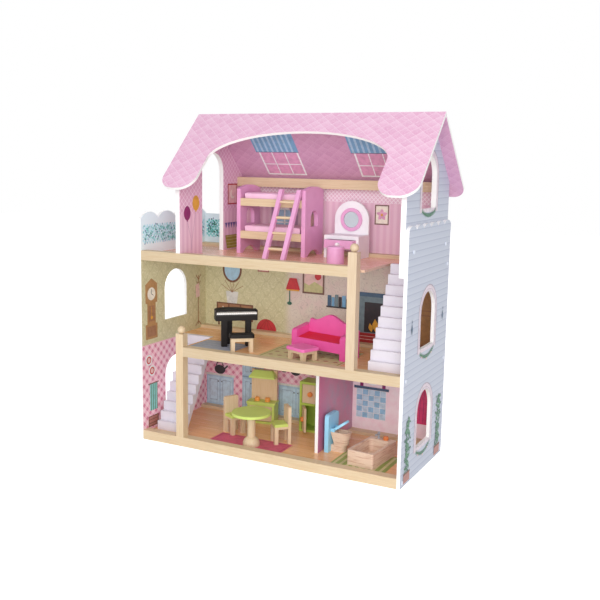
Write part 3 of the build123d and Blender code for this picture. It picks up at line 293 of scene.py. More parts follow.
def check(paint, across):
    """Diagonal gingham in pinks."""
    one, two = (paint.above(share, 0.54) for share in diagonals(paint, across, check_period))
    shade = paint.math("MULTIPLY", paint.math("ADD", one, two), 0.5)
    tone = paint.mix(shade, ink(250, 214, 224), ink(238, 164, 190))
    return paint.tint(tone, ink(196, 92, 128), paint.math("MULTIPLY", one, two), strength=0.5)


def scrolls(paint, scale, turns, half_width):
    """Fine curling lines."""
    field = paint.noise(paint.place, scale, detail=2.0)
    return paint.line(paint.math("FRACT", paint.math("MULTIPLY", field, turns)), half_width)


def ogee(paint, across):
    """An olive paper with pale scrolls and a lattice of double curves."""
    ground = ink(212, 205, 165)
    figure = ink(188, 180, 136)
    wave = paint.math("SINE", paint.math("MULTIPLY", across, 2 * math.pi / ogee_period))
    rise = paint.math("DIVIDE", paint.z, ogee_period)
    sway = paint.math("MULTIPLY", wave, 0.26)
    one = paint.math("FRACT", paint.math("ADD", rise, sway))
    two = paint.math("FRACT", paint.math("ADD", paint.math("SUBTRACT", rise, sway), 0.5))
    tone = paint.tint(ground, figure, paint.noise(paint.place, scale=0.03), strength=0.35)
    pale_lines = scrolls(paint, scale=0.05, turns=9.0, half_width=0.14)
    tone = paint.tint(tone, ink(234, 226, 198), pale_lines, strength=0.45)
    return paint.tint(tone, figure, paint.cross(one, two, half_width=0.06), strength=0.42)


def squiggles(paint):
    """A pale paper with fine curling lines."""
    lines = scrolls(paint, scale=0.035, turns=11.0, half_width=0.07)
    blush = paint.noise(paint.place, scale=0.02, detail=2.0)
    tone = paint.mix(paint.ramp(blush, low=0.4, high=0.65), ink(226, 214, 201), ink(226, 202, 197))
    return paint.tint(tone, ink(188, 174, 166), lines, strength=0.5)


def soft_stripes(paint, across, first, second):
    """Vertical stripes that fade into each other."""
    off = paint.off_middle(paint.cycle(across, stripe_period))
    return paint.mix(paint.ramp(off, low=0.1, high=0.4), first, second)


def stripes(paint, across):
    """Soft vertical stripes under a white lattice border."""
    tone = soft_stripes(paint, across, ink(226, 182, 203), ink(234, 197, 213))
    lattice = paint.cross(*diagonals(paint, across, border_period), half_width=0.13)
    border = paint.mix(lattice, ink(230, 190, 210), ink(244, 226, 235))
    return paint.mix(paint.above(paint.z, lattice_foot), tone, border)


def mottle(paint, light, dark, scale=0.05):
    clouds = paint.noise(paint.place, scale, detail=4.0, roughness=0.6)
    return paint.mix(paint.ramp(clouds, low=0.3, high=0.72), light, dark)


def paper_finish(paint):
    """Lacquered printed paper on board."""
    fibre = paint.noise(paint.place, scale=1.3, detail=2.0)
    paint.relief(fibre, depth=0.05, strength=0.35)
    paint.roughen(fibre, low=0.38, high=0.55)


def board(name, outward, inside, outside=clapboard, limit=0.8):
    """A board with white cut edges and a print on each face that looks outward or inward squarely enough."""
    paint = Paint(name)
    facing = paint.dot(paint.normal, outward)
    tone = paint.mix(paint.above(facing, limit), board_white(paint), outside(paint))
    tone = paint.mix(paint.math("LESS_THAN", facing, -limit), tone, inside(paint))
    paper_finish(paint)
    return paint.finish(tone)


def storeys(paint, ground, middle, top):
    """One print for each storey."""
    tone = paint.mix(paint.above(paint.z, storey_splits[0]), ground, middle)
    return paint.mix(paint.above(paint.z, storey_splits[1]), tone, top)


def left_inside(paint):
    sky = paint.mix(paint.ramp(paint.z, *balcony_fade), ink(245, 253, 255), ink(238, 250, 255))
    return storeys(paint, check(paint, paint.y), ogee(paint, paint.y), sky)


def right_inside(paint):
    bath = mottle(paint, ink(242, 196, 214), ink(226, 166, 190))
    paper = squiggles(paint)
    return storeys(paint, bath, paper, paper)


def back_inside(paint):
    bath = mottle(paint, ink(255, 240, 245), ink(252, 225, 234))
    ground = paint.mix(paint.above(paint.x, bathroom_edge), check(paint, paint.x), bath)
    living = paint.mix(paint.ramp(paint.x, *olive_fade), ogee(paint, paint.x), squiggles(paint))
    top = paint.mix(paint.above(paint.x, balcony_edge), ink(228, 241, 247), stripes(paint, paint.x))
    return storeys(paint, ground, living, top)


def gable_inside(paint):
    lattice = paint.cross(*diagonals(paint, paint.y, gable_period), half_width=0.07)
    upper = paint.mix(lattice, ink(225, 176, 203), ink(244, 218, 231))
    lower = soft_stripes(paint, paint.y, ink(226, 184, 206), ink(238, 203, 219))
    return paint.mix(paint.ramp(paint.z, *gable_dado), lower, upper)


def partition_side(paint):
    mauve = mottle(paint, ink(212, 142, 172), ink(188, 158, 180), scale=0.03)
    return paint.mix(paint.ramp(paint.y, *partition_fade), ink(204, 112, 152), mauve)


def plain_back(paint):
    fibres = paint.noise(paint.place, scale=0.8, detail=4.0, roughness=0.7)
    return paint.mix(paint.ramp(fibres, low=0.3, high=0.75), ink(242, 240, 239), ink(229, 226, 225))


def tiles(paint, slope, tones):
    """Diamond shingles in two tones, each with a head deepened by painted shade, a pale mottle and a pale
    edge.
    """
    dull, bright, deep, pale, edge = (ink(*tone) for tone in tones)
    across = paint.math("DIVIDE", paint.x, shingle_width)
    down = paint.math("DIVIDE", slope, shingle_height)
    one = paint.math("ADD", across, down)
    two = paint.math("SUBTRACT", across, down)
    chance = paint.speck(paint.join(paint.math("FLOOR", one), paint.math("FLOOR", two)))
    first = paint.math("FRACT", one)
    second = paint.math("FRACT", two)
    drop = paint.math("ADD", first, paint.math("SUBTRACT", 1.0, second))
    # Painted shade: each shingle darkens towards its head.
    head_shade = paint.ramp(paint.math("MULTIPLY", drop, 0.5), low=0.1, high=0.95)
    clouds = paint.noise(paint.place, scale=0.32, detail=4.0, roughness=0.7)
    tone = paint.mix(chance, dull, bright)
    tone = paint.tint(tone, deep, head_shade, strength=0.6)
    tone = paint.tint(tone, pale, paint.ramp(clouds, low=0.42, high=0.66), strength=0.5)
    return paint.tint(tone, edge, paint.cross(first, second, half_width=0.03), strength=0.5)


# Shingle tones: dull, bright, the painted shade at each head, pale mottle, pale edge.
roof_tones = ((218, 168, 198), (228, 188, 212), (216, 150, 188), (234, 203, 219), (240, 220, 231))
under_tones = ((206, 154, 187), (216, 166, 197), (198, 142, 178), (218, 176, 201), (220, 182, 206))


def roof(name, side):
    """A roof board on the front (-1) or back (1) slope: shingles on top and duller ones below."""
    def shingled(tones):
        def face(paint):
            fall = paint.math("SUBTRACT", paint.math("MULTIPLY", paint.y, side), paint.z)
            return tiles(paint, paint.math("MULTIPLY", fall, root_half), tones)

        return face

    outward = (0.0, side * root_half, root_half)
    return board(name, outward, shingled(under_tones), shingled(roof_tones), limit=0.9)


def planks(name, blush=0.0):
    """Floor print: boards along the front with staggered ends; bare cut edges and a white underside."""
    shift_seed = 3.0
    tone_seed = 7.0
    up_limit = 0.8
    paint = Paint(name)
    row = paint.math("FLOOR", paint.math("DIVIDE", paint.y, plank_width))
    shift = paint.math("MULTIPLY", paint.speck(paint.join(row, shift_seed)), plank_stagger)
    run = paint.math("DIVIDE", paint.math("ADD", paint.x, shift), plank_length)
    chance = paint.speck(paint.join(paint.math("FLOOR", run), row, tone_seed))
    fibres = grain(paint, along_x, plank_grain)
    tone = paint.mix(chance, ink(248, 200, 150), ink(240, 182, 128))
    tone = paint.tint(tone, ink(220, 154, 104), paint.ramp(fibres, low=0.35, high=0.75), strength=0.45)
    ends = paint.line(paint.math("FRACT", run), half_width=0.003)
    sides = paint.line(paint.cycle(paint.y, plank_width), half_width=0.02)
    tone = paint.tint(tone, ink(160, 98, 66), paint.math("MAXIMUM", sides, ends), strength=0.4)
    if blush:
        tone = paint.mix(blush, tone, ink(252, 198, 202))
    rise = paint.add("ShaderNodeSeparateXYZ", paint.normal).outputs["Z"]
    edge = paint.mix(paint.above(rise, -up_limit), board_white(paint), ink(212, 178, 154))
    paint.relief(fibres, depth=0.05, strength=0.3)
    paint.roughen(fibres, low=0.2, high=0.32)
    return paint.finish(paint.mix(paint.above(rise, up_limit), edge, tone))


def piano_keys():
    """White keys with fine gaps, and the black slip under their front edge."""
    key_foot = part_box("piano_keys")[1][2] / millimetre - key_depth
    paint = Paint("piano_keys", 0.3)
    easting = paint.math("MULTIPLY", paint.x, math.cos(piano_turn))
    run = paint.math("MULTIPLY_ADD", paint.y, math.sin(piano_turn), easting)
    gaps = paint.line(paint.cycle(run, key_width), half_width=0.05)
    cloud = paint.noise(paint.place, scale=0.4, detail=2.0)
    tone = paint.mix(cloud, ink(250, 249, 246), ink(236, 233, 228))
    tone = paint.tint(tone, ink(140, 136, 134), gaps, strength=0.5)
    paint.relief(paint.math("SUBTRACT", 1.0, gaps), depth=0.3, strength=0.6)
    return paint.finish(paint.mix(paint.above(paint.z, key_foot), ink(30, 26, 25), tone))


def silvered():
    """Mirror with a faint haze."""
    paint = Paint("mirror_face")
    paint.shader.inputs["Metallic"].default_value = 0.4
    haze = paint.noise(paint.place, scale=0.2)
    paint.roughen(haze, low=0.1, high=0.2)
    return paint.finish(paint.mix(haze, ink(200, 207, 213), ink(185, 194, 202)))


def tap_paint():
    """Grey to the left of the line between the taps, orange to its right."""
    paint = Paint("tap_paint", 0.35)
    patches = paint.noise(paint.place, scale=0.8)
    grey = paint.mix(patches, ink(176, 182, 190), ink(150, 156, 164))
    warm = paint.mix(patches, ink(236, 140, 76), ink(214, 116, 60))
    paint.relief(patches, depth=0.06, strength=0.4)
    return paint.finish(paint.mix(paint.above(paint.x, tap_divide), grey, warm))


def knobbed(name, turn):
    """A pine cupboard door whose round knob, in front of the door's face, is orange."""
    paint = Paint(name)
    hinge_x, hinge_y = cupboard_hinge
    face_gap = 0.1
    fibres = grain(paint, along_z, fibre_grain)
    wood = paint.mix(grain(paint, along_z, ring_grain), pine_light, pine_mid)
    wood = fibred(paint, wood, fibres)
    depth = paint.math("MULTIPLY", paint.math("SUBTRACT", paint.x, hinge_x), -math.sin(turn))
    depth = paint.math("MULTIPLY_ADD", paint.math("SUBTRACT", hinge_y, paint.y), math.cos(turn), depth)
    knob = paint.mix(fibres, ink(240, 150, 78), ink(222, 124, 58))
    paint.roughen(fibres, low=0.42, high=0.6)
    return paint.finish(paint.mix(paint.above(depth, door_half + face_gap), wood, knob))


oven_width = (math.cos(oven_turn), math.sin(oven_turn), 0.0)
pine_x = pine("pine_along", along_x)
pine_z = pine("pine_upright", along_z)
# Copies of the pine with painted shade, for the second and third front bars and the right newel post.
shaded_bar_pine = pine("shaded_bar_pine", along_x, toning=0.3, tone=bar_shade_tone)
shaded_post_pine = pine("shaded_post_pine", along_z, toning=0.25, tone=post_shade_tone)
white = painted("white_paint", ink(243, 241, 244), ink(226, 223, 231))
stair_white = painted("stair_paint", ink(224, 220, 230), ink(213, 208, 220))
pink = painted("pink_paint", ink(228, 166, 207), ink(217, 149, 195))
green = painted("green_paint", ink(201, 219, 113), ink(185, 203, 96))
blue = painted("blue_paint", ink(156, 216, 244), ink(136, 198, 232))
black = painted("black_paint", ink(30, 26, 25), ink(18, 15, 15), gloss=0.5)
black.node_tree.nodes["Principled BSDF"].inputs["Specular IOR Level"].default_value = 0.2

dress = {
    "base_panel": planks("base_floor"),
    "second_floor_panel": planks("second_floor"),
    "third_floor_panel": planks("third_floor", blush=0.4),
    "base_front_bar": pine_x,
    "second_front_bar": shaded_bar_pine,
    "third_front_bar": shaded_bar_pine,
    "rear_bars": pine_x,
    "roof_rail": pine_x,
    "left_newel_post": pine_z,
    "right_newel_post": shaded_post_pine,
    "left_wall": board("left_wall_print", to_left, left_inside),
    "right_wall": board("right_wall_print", to_right, right_inside),
    "left_gable_wall": board("left_gable_print", to_left, gable_inside),
    "right_gable_wall": board("right_gable_print", to_right, lambda paint: stripes(paint, paint.y)),
    "back_panel": board("back_print", to_back, back_inside, plain_back),
    "partition_wall": board("partition_print", to_left, partition_side, lambda paint: check(paint, paint.y)),
    "roof_front_panel": roof("roof_front_print", -1.0),
    "roof_back_panel": roof("roof_back_print", 1.0),
    "left_stairs": stair_white,
    "right_stairs": stair_white,
    "assembly_screws": painted("screw_paint", ink(216, 221, 233), ink(204, 210, 224)),
    "bed_ends": pink,
    "bed_frames": pine_x,
    "bed_mattresses": painted("mattress_paint", ink(244, 200, 226), ink(238, 184, 216)),
    "ladder_rails": pink,
    "ladder_rungs": pine_x,
    "vanity_body": white,
    "vanity_board": white,
    "mirror_ring": pink,
    "mirror_glass": silvered(),
    "vanity_drawer": pink,
    "drawer_knob": white,
    "vanity_stool": pink,
    "piano_body": black,
    "piano_keys": piano_keys(),
    "bench_frame": pine_z,
    "bench_seat": black,
    "sofa_frame": painted("rose_paint", ink(231, 90, 164), ink(219, 75, 149)),
    "sofa_seat": painted("red_paint", ink(218, 30, 46), ink(198, 22, 38)),
    "coffee_legs": pine_z,
    "coffee_top": painted("coffee_paint", ink(236, 116, 182), ink(226, 100, 168)),
    "stove_body": green,
    "stove_board": pine("stove_pine", along_z, toning=0.25),
    "stove_hood": green,
    "hob_knobs": painted("orange_paint", ink(236, 158, 78), ink(222, 138, 60)),
    "oven_door": pine("oven_pine", oven_width, toning=0.1),
    "cupboard_body": painted("cupboard_paint", ink(178, 202, 84), ink(156, 180, 68)),
    "cupboard_lower_door": knobbed("lower_door_pine", lower_door_turn),
    "cupboard_upper_door": knobbed("upper_door_pine", 0.0),
    "table_pedestal": pine_z,
    "table_top": green,
    "left_chair_frame": pine_z,
    "left_chair_seat": green,
    "right_chair_frame": pine_z,
    "right_chair_seat": green,
    "toilet_back": blue,
    "toilet_bowl": pine("bowl_pine", along_y, toning=0.6, tone=beech_tone, streaks=0.6),
    "toilet_lid": blue,
    "bathtub": pine("tub_pine", along_y, toning=0.6, tone=beech_tone, streaks=0.6),
    "bath_taps": tap_paint(),
}
for name, material in dress.items():
    for spot in nodes[name].material_slots:
        spot.material = material

# Prints: flat shapes of printed paper on the boards
inks = {
    "slate": (182, 212, 234), "slate_light": (202, 228, 245), "slate_dark": (138, 166, 192),
    "worktop": (228, 226, 222), "charcoal": (54, 50, 54), "steel": (120, 140, 148),
    "brown": (122, 80, 60), "brown_light": (168, 120, 88), "cream": (246, 236, 220), "oak": (186, 140, 92),
    "frame_brown": (128, 92, 82), "blush": (240, 200, 196), "cherry": (206, 58, 66), "brick": (176, 52, 52),
    "leaf": (88, 142, 108), "leaf_dark": (62, 110, 92), "leaf_pale": (150, 220, 220), "mint": (208, 244, 254),
    "fern": (92, 172, 162), "violet": (104, 98, 160), "plum": (146, 44, 108), "amber": (230, 170, 64),
    "moss": (158, 150, 56), "moss_pale": (206, 198, 146), "sky": (124, 176, 214), "sky_pale": (176, 212, 236),
    "tile_blue": (158, 206, 236), "navy": (76, 102, 128), "snow": (250, 249, 250), "trim": (228, 213, 223),
    "trim_line": (176, 160, 178), "terracotta": (182, 122, 112), "magenta": (222, 64, 118),
    "mauve": (190, 150, 182), "pane": (230, 166, 200), "rug_red": (214, 92, 124), "rug_deep": (194, 72, 104),
    "rug_grey": (166, 172, 188), "rug_blue": (138, 148, 174), "grass": (148, 166, 86),
}
made_inks = {}


def printed(name):
    """One printed colour, slightly uneven, under the paper's lacquer."""
    if name not in made_inks:
        shade_share = 0.9
        paint = Paint("ink_" + name)
        clouds = paint.noise(paint.place, scale=0.11, detail=4.0, roughness=0.6)
        shade = ink(*(part * shade_share for part in inks[name]))
        paper_finish(paint)
        tone = paint.mix(paint.ramp(clouds, low=0.35, high=0.75), ink(*inks[name]), shade)
        made_inks[name] = paint.finish(tone)
    return made_inks[name]


class Print:
    """Shapes printed on one face.

    Each layer lies a hair above the one before, and each shape in it has a finer level of its own.
    """

    def __init__(self, name, spot, outward, lift=0.1):
        self.name = name
        self.spot = spot
        self.outward = Vector(outward)
        self.lift = lift
        self.form = bmesh.new()
        self.inks = []
        self.layers = 0

    def lay(self, ink_name, *shapes):
        """One layer of shapes, each a list of corners, in one ink."""
        self.layers += 1
        if ink_name not in self.inks:
            self.inks.append(ink_name)
        for number, shape in enumerate(shapes):
            corners = []
            rise = self.lift * (self.layers + number / len(shapes))
            for across, height in shape:
                place = self.spot(across, height) + self.outward * rise
                corners.append(self.form.verts.new((place - Vector((middle_x, 0.0, 0.0))) * millimetre))
            face = self.form.faces.new(corners)
            face.normal_update()
            if face.normal.dot(self.outward) < 0:
                face.normal_flip()
            face.material_index = self.inks.index(ink_name)

    def sharing(self, items):
        """Goes through items, each of them printed on the same layers."""
        start = self.layers
        for item in items:
            self.layers = start
            yield item

    def done(self):
        mesh = bpy.data.meshes.new(self.name)
        self.form.to_mesh(mesh)
        self.form.free()
        for ink_name in self.inks:
            mesh.materials.append(printed(ink_name))
        piece = bpy.data.objects.new(self.name, mesh)
        bpy.context.collection.objects.link(piece)
        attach(piece, "house")


def on_side(x):
    """Places on a face that looks left or right."""
    return lambda across, height: Vector((x, across, height))


def on_back(across, height):
    return Vector((across, back_face, height))


def on_roof(across, down):
    """A place under the rear roof board, measured down its slope from the ridge."""
    return Vector((across, down * root_half, ridge_in - down * root_half))


def on_floor(level):
    return lambda across, depth: Vector((across, depth, level))


def block(left, right_side, low, high):
    return [(left, low), (right_side, low), (right_side, high), (left, high)]


def oval(across, height, half_width, half_height, steps=28, sweep=360.0):
    points = []
    for step in range(steps + (sweep < 360.0)):
        angle = math.radians(sweep * step / steps)
        points.append((across + half_width * math.cos(angle), height + half_height * math.sin(angle)))
    return points


def disc(across, height, radius, steps=28):
    return oval(across, height, radius, radius, steps)


def edging(left, right_side, low, high, width):
    """Four strips round a rectangle."""
    return [
        block(left, right_side, low, low + width),
        block(left, right_side, high - width, high),
        block(left, left + width, low + width, high - width),
        block(right_side - width, right_side, low + width, high - width),
    ]


def stroke(points, width):
    """A pen line as one quad for each run."""
    runs = []
    for (across, height), (next_across, next_height) in zip(points, points[1:]):
        run = Vector((next_across - across, next_height - height))
        side = Vector((-run.y, run.x)).normalized() * (width / 2)
        runs.append([
            (across + side.x, height + side.y), (across - side.x, height - side.y),
            (next_across - side.x, next_height - side.y), (next_across + side.x, next_height + side.y),
        ])
    return runs


# A leaf's outline: shares of its length from the stalk, and shares of its width to the side
leaf_outline = ((0.0, 0.0), (0.3, 0.42), (0.6, 0.5), (1.0, 0.0), (0.6, -0.5), (0.3, -0.42))


def leaf(across, height, length, width, angle):
    """A pointed leaf that starts at a place and grows at an angle in degrees."""
    turn = math.radians(angle)
    points = []
    for share, spread in leaf_outline:
        run, side = share * length, spread * width
        points.append((
            across + run * math.cos(turn) - side * math.sin(turn),
            height + run * math.sin(turn) + side * math.cos(turn),
        ))
    return points


arch_steps = 20


def arch_band(foot, spring, inner, outer):
    """A band round an arched opening, from foot to foot."""
    rails = []
    for radius in (inner, outer):
        crown = oval(0.0, spring, radius, radius, arch_steps, 180.0)
        rails.append([(radius, foot)] + crown + [(-radius, foot)])
    return [
        [rails[0][i], rails[1][i], rails[1][i + 1], rails[0][i + 1]]
        for i in range(len(rails[0]) - 1)
    ]


def scatter(chance, count, area, length, width):
    """Leaves strewn over a rectangle, their stalks pointing every way."""
    low_across, high_across, low, high = area
    leaves = []
    for _ in range(count):
        across = chance.uniform(low_across, high_across)
        height = chance.uniform(low, high)
        size = chance.uniform(0.7, 1.2)
        leaves.append(leaf(across, height, length * size, width * size, chance.uniform(0.0, 360.0)))
    return leaves


def trellis(low_across, high_across, low, high, pitch, width):
    """Crossed laths that fill a rectangle."""
    rise = high - low
    laths = []
    for step in range(int((high_across - low_across + rise) / pitch) + 1):
        foot = low_across - rise + step * pitch
        start = max(foot, low_across)
        end = min(foot + rise, high_across)
        if end - start > pitch / 4:
            laths += stroke([(start, low + start - foot), (end, low + end - foot)], width)
            laths += stroke([(start, high - start + foot), (end, high - end + foot)], width)
    return laths


garland_leaves = 15
garland_leaf = (10.5, 3.2)
garland_fan = 40


def festoon(half_width, top, sag, turn):
    """Leaves along a hanging garland."""
    leaves = []
    for step in range(garland_leaves):
        share = 2 * step / (garland_leaves - 1) - 1
        drop = sag * (1 - share * share)
        angle = turn + garland_fan * share
        leaves.append(leaf(share * half_width, top - drop, *garland_leaf, angle))
    return leaves


def picture(sheet, left, right_side, low, high, rim, frame_ink, ground_ink):
    """A framed picture's rim and ground."""
    sheet.lay(ground_ink, block(left, right_side, low, high))
    sheet.lay(frame_ink, *edging(left, right_side, low, high, rim))


def panel_doors(sheet, runs):
    """Panelled cupboard doors with dark knobs. A run has left, right, foot, head, count and knob height."""
    doors = [(run, number) for run in runs for number in range(run[4])]
    for (left, right_side, low, high, count, knob_height), number in sheet.sharing(doors):
        width = (right_side - left) / count
        start = left + number * width
        end = start + width
        sheet.lay("slate_light", block(start + 2.0, end - 2.0, low + 3.0, high - 3.0))
        sheet.lay("slate_dark", *edging(start + 7.0, end - 7.0, low + 9.0, high - 9.0, 1.0))
        knob = start + 5.0 if number % 2 else end - 5.0
        sheet.lay("charcoal", disc(knob, knob_height, 1.6, 12))


# Kitchen: panelled cupboards, hanging pans, a plate shelf and a kettle
foot, counter, rail = 20, 92, 168
kitchen = Print("kitchen_print", on_back, to_front)
low_cupboards = [block(left, end, foot, counter) for left, end in ((-290, -214), (-92, 86))]
kitchen.lay("slate", block(-190, -132, foot, 176), *low_cupboards)
kitchen.lay("slate_dark", block(-195, -127, 176, 182), block(-190, -132, 98, 101))
kitchen.lay("worktop", block(-292, -211, counter, 97), block(-95, 86, counter, 97), block(-8, 84, 138, 141))
panel_doors(kitchen, (
    (-188, -134, 22, 97, 2, 84),
    (-188, -134, 102, 175, 2, 114),
    (-288, -216, 22, 91, 2, 78),
    (-90, 84, 22, 91, 4, 78),
))
kitchen.lay("charcoal", *stroke([(-124, rail), (-98, rail)], 2.0), *stroke([(-88, rail), (-14, rail)], 2.0))
for across, radius in kitchen.sharing(((-78, 12.0), (-48, 15.0), (-22, 9.0))):
    kitchen.lay("charcoal", *stroke([(across, rail), (across, 150 - radius * 0.5)], 3.0))
    kitchen.lay("charcoal", disc(across, 140 - radius * 0.4, radius))
    kitchen.lay("steel", disc(across - 2.0, 141 - radius * 0.4, radius * 0.62))
for ink_name, radius in (("snow", 9.0), ("sky_pale", 5.0)):
    kitchen.lay(ink_name, *[disc(across, 151, radius) for across in (4, 26, 48, 70)])
kitchen.lay("charcoal", oval(-252, 108, 15, 11), *stroke([(-240, 110), (-230, 119)], 4.0))
kitchen.lay("charcoal", *stroke([(-262, 117), (-258, 126), (-246, 126), (-242, 117)], 2.5))
kitchen.done()

# Kitchen side: a striped towel on a rail over a crate, and two plates on the wall
crate = (-106, -70, 20, 44)
side = Print("kitchen_side_print", on_side(-wall_in), to_right)
side.lay("leaf_pale", block(-100, -74, 56, 116))
side.lay("leaf", *[block(-97 + 7 * i, -94 + 7 * i, 56, 116) for i in range(4)])
side.lay("brown", *stroke([(-106, 117), (-68, 117)], 2.4))
side.lay("terracotta", block(*crate))
side.lay("brown", *[block(-106, -70, low, low + 1.6) for low in (27, 35)], *edging(*crate, 2.0))
for ink_name, radius in (("snow", 12), ("cherry", 8.5), ("blush", 5.5)):
    side.lay(ink_name, disc(-103, 171, radius), disc(-92, 146, radius))
side.done()

# Living room, left: a sideboard with a vase of twigs under a mirror, and a red pouffe
living = Print("living_print", on_back, to_front)
skirting = 217
drawers = [(across, low) for across in (-258, -226, -194) for low in (236, 254)]
sideboard_feet = [block(left, left + 5, skirting, 232) for left in (-258, -171)]
living.lay("brown", block(-262, -162, 232, 272), *sideboard_feet)
living.lay("brown_light", *[block(across, across + 28, low, low + 15) for across, low in drawers])
living.lay("cream", *[disc(across + 14, low + 7.5, 1.5, 10) for across, low in drawers])
living.lay("worktop", [(-232, 272), (-206, 272), (-202, 300), (-236, 300)])
for degrees in living.sharing(range(30, 160, 24)):
    lean = math.radians(degrees)
    tip = (-219 + 34 * math.cos(lean), 298 + 34 * math.sin(lean))
    living.lay("brown_light", *stroke([(-219, 298), tip], 1.2))
living.lay("brown", oval(-219, 352, 26, 31))
living.lay("sky_pale", oval(-219, 352, 21, 26))
living.lay("cherry", oval(-126, skirting, 26, 26, 24, 180.0))
seams = [stroke([(-126, 242), (-126 + 22 * share, 218)], 1.4)[0] for share in (-0.8, -0.3, 0.3, 0.8)]
living.lay("brick", *seams)

# Living room, right: pictures, a wall lamp, a book shelf, a fireplace and a door
picture(living, -150, -120, 352, 388, 3.0, "terracotta", "blush")
picture(living, -108, -86, 358, 384, 2.6, "terracotta", "blush")
picture(living, -34, 20, 312, 372, 4.0, "frame_brown", "blush")
living.lay("moss_pale", [(-30, 316), (16, 316), (16, 330), (-4, 340), (-18, 331), (-30, 336)])
living.lay("cherry", disc(4, 352, 8))
living.lay("leaf_dark", *stroke([(-66, 286), (-66, 318), (-58, 326)], 2.6), oval(-66, 286, 6, 4))
living.lay("cherry", [(-76, 318), (-40, 318), (-49, 344), (-67, 344)])
living.lay("amber", block(-74, -42, 315, 318))
shelf_top = 289.5
books = (
    (29, 9, 24, "navy"), (39, 7, 20, "sky"), (47, 8, 26, "steel"),
    (56, 7, 22, "charcoal"), (64, 9, 25, "sky"), (74, 6, 18, "charcoal"),
)
living.lay("charcoal", block(26, 92, 286, shelf_top))
for start, width, height, ink_name in living.sharing(books):
    living.lay(ink_name, block(start, start + width, shelf_top, shelf_top + height))
living.lay("steel", block(102, 206, skirting, 318))
living.lay("navy", block(96, 212, 318, 327))
living.lay("charcoal", block(118, 190, 240, 306))
living.lay("brick", block(102, 206, skirting, 238))
living.lay("blush", *[block(102, 206, low, low + 1.0) for low in (223.5, 230.5)])
living.lay("amber", leaf(146, 241, 30, 14, 96), leaf(158, 241, 22, 11, 80), leaf(136, 241, 20, 10, 104))
living.lay("oak", block(232, 286, skirting, 372))
living.lay("brown_light", *edging(239, 279, 224, 290, 2.0), *edging(239, 279, 298, 364, 2.0))
living.lay("charcoal", disc(243, 292, 2.2, 12))
living.done()

# Living-room side: a longcase clock without figures, and a coat stand
hall = Print("hall_print", on_side(-wall_in), to_right)
hall.lay("oak", block(-112, -70, skirting, 250), block(-106, -76, 250, 296), block(-112, -70, 296, 336))
hall.lay("brown_light", block(-102, -80, 256, 290), block(-107, -75, 222, 245))
hall.lay("oak", [(-114, 336), (-68, 336), (-91, 350)])
hall.lay("cream", disc(-91, 316, 14))
hall.lay("charcoal", *stroke([(-91, 327), (-91, 316), (-84, 312)], 1.4))
hall.lay("amber", *stroke([(-91, 288), (-91, 266)], 1.2), disc(-91, 264, 4, 14))
stand_post = stroke([(90, 220), (90, 336)], 2.6)
stand_feet = stroke([(78, skirting), (90, 228), (102, skirting)], 2.4)
hall.lay("brown_light", *stand_post, *stand_feet)
upper_hooks = stroke([(80, 338), (90, 326), (100, 338)], 2.2)
lower_hooks = stroke([(82, 322), (90, 314), (98, 322)], 2.0)
hall.lay("brown_light", *upper_hooks, *lower_hooks)
hall.lay("blush", [(78, 314), (92, 318), (96, 286), (80, 284)])
hall.done()

# Bedroom: a framed blossom, a curtained window behind the bunks and three cards in a frame
bedroom = Print("bedroom_print", on_back, to_front)
picture(bedroom, 134, 166, 474, 516, 2.6, "frame_brown", "cream")
bedroom.lay("pane", *[leaf(150, 495, 13, 8, petal_angle) for petal_angle in range(18, 378, 72)])
bedroom.lay("amber", disc(150, 495, 3, 14))
picture(bedroom, -112, -52, 438, 500, 4.0, "snow", "sky_pale")
bedroom.lay("snow", block(-84, -80, 442, 496), block(-108, -56, 467, 470))
left_curtain = [(-116, 504), (-92, 504), (-104, 470), (-114, 440)]
right_curtain = [(-48, 504), (-72, 504), (-60, 470), (-50, 440)]
bedroom.lay("mauve", left_curtain, right_curtain)
bedroom.lay("frame_brown", *edging(-34, 8, 452, 496, 3.0))
bedroom.lay("blush", *[block(across, across + 10, 458, 490) for across in (-29, -17, -5)])
bedroom.done()

# Gable: two balloons on strings, a framed moon, a basket and a row of pennants
gable = Print("gable_print", on_side(gable_left_in), to_right)
first_string = stroke([(-66, 498), (-80, 440), (-82, 416)], 0.9)
second_string = stroke([(-98, 478), (-84, 440), (-82, 416)], 0.9)
gable.lay("mauve", *first_string, *second_string)
gable.lay("amber", oval(-66, 514, 13, 16), [(-69, 496), (-63, 496), (-66, 500)])
gable.lay("plum", oval(-98, 494, 12, 15), [(-101, 477), (-95, 477), (-98, 481)])
picture(gable, 60, 100, 506, 552, 3.0, "brick", "blush")
gable.lay("cream", disc(80, 529, 10))
gable.lay("blush", disc(84, 532, 8.5))
gable.lay("moss", [(56, 408), (98, 408), (104, 438), (50, 438)])
gable.lay("moss_pale", *[block(56 - i, 98 + i, 413 + i * 7.0, 414.2 + i * 7.0) for i in range(4)])
gable.lay("violet", *[[(48 + i * 11, 466), (58 + i * 11, 466), (53 + i * 11, 453)] for i in range(6)])
gable.done()

# Balcony: a trellis with leaves and small violet flowers
chance = random.Random(41)
full_width = 234.0
pale_hedge = ("mint", "leaf_pale", "fern")
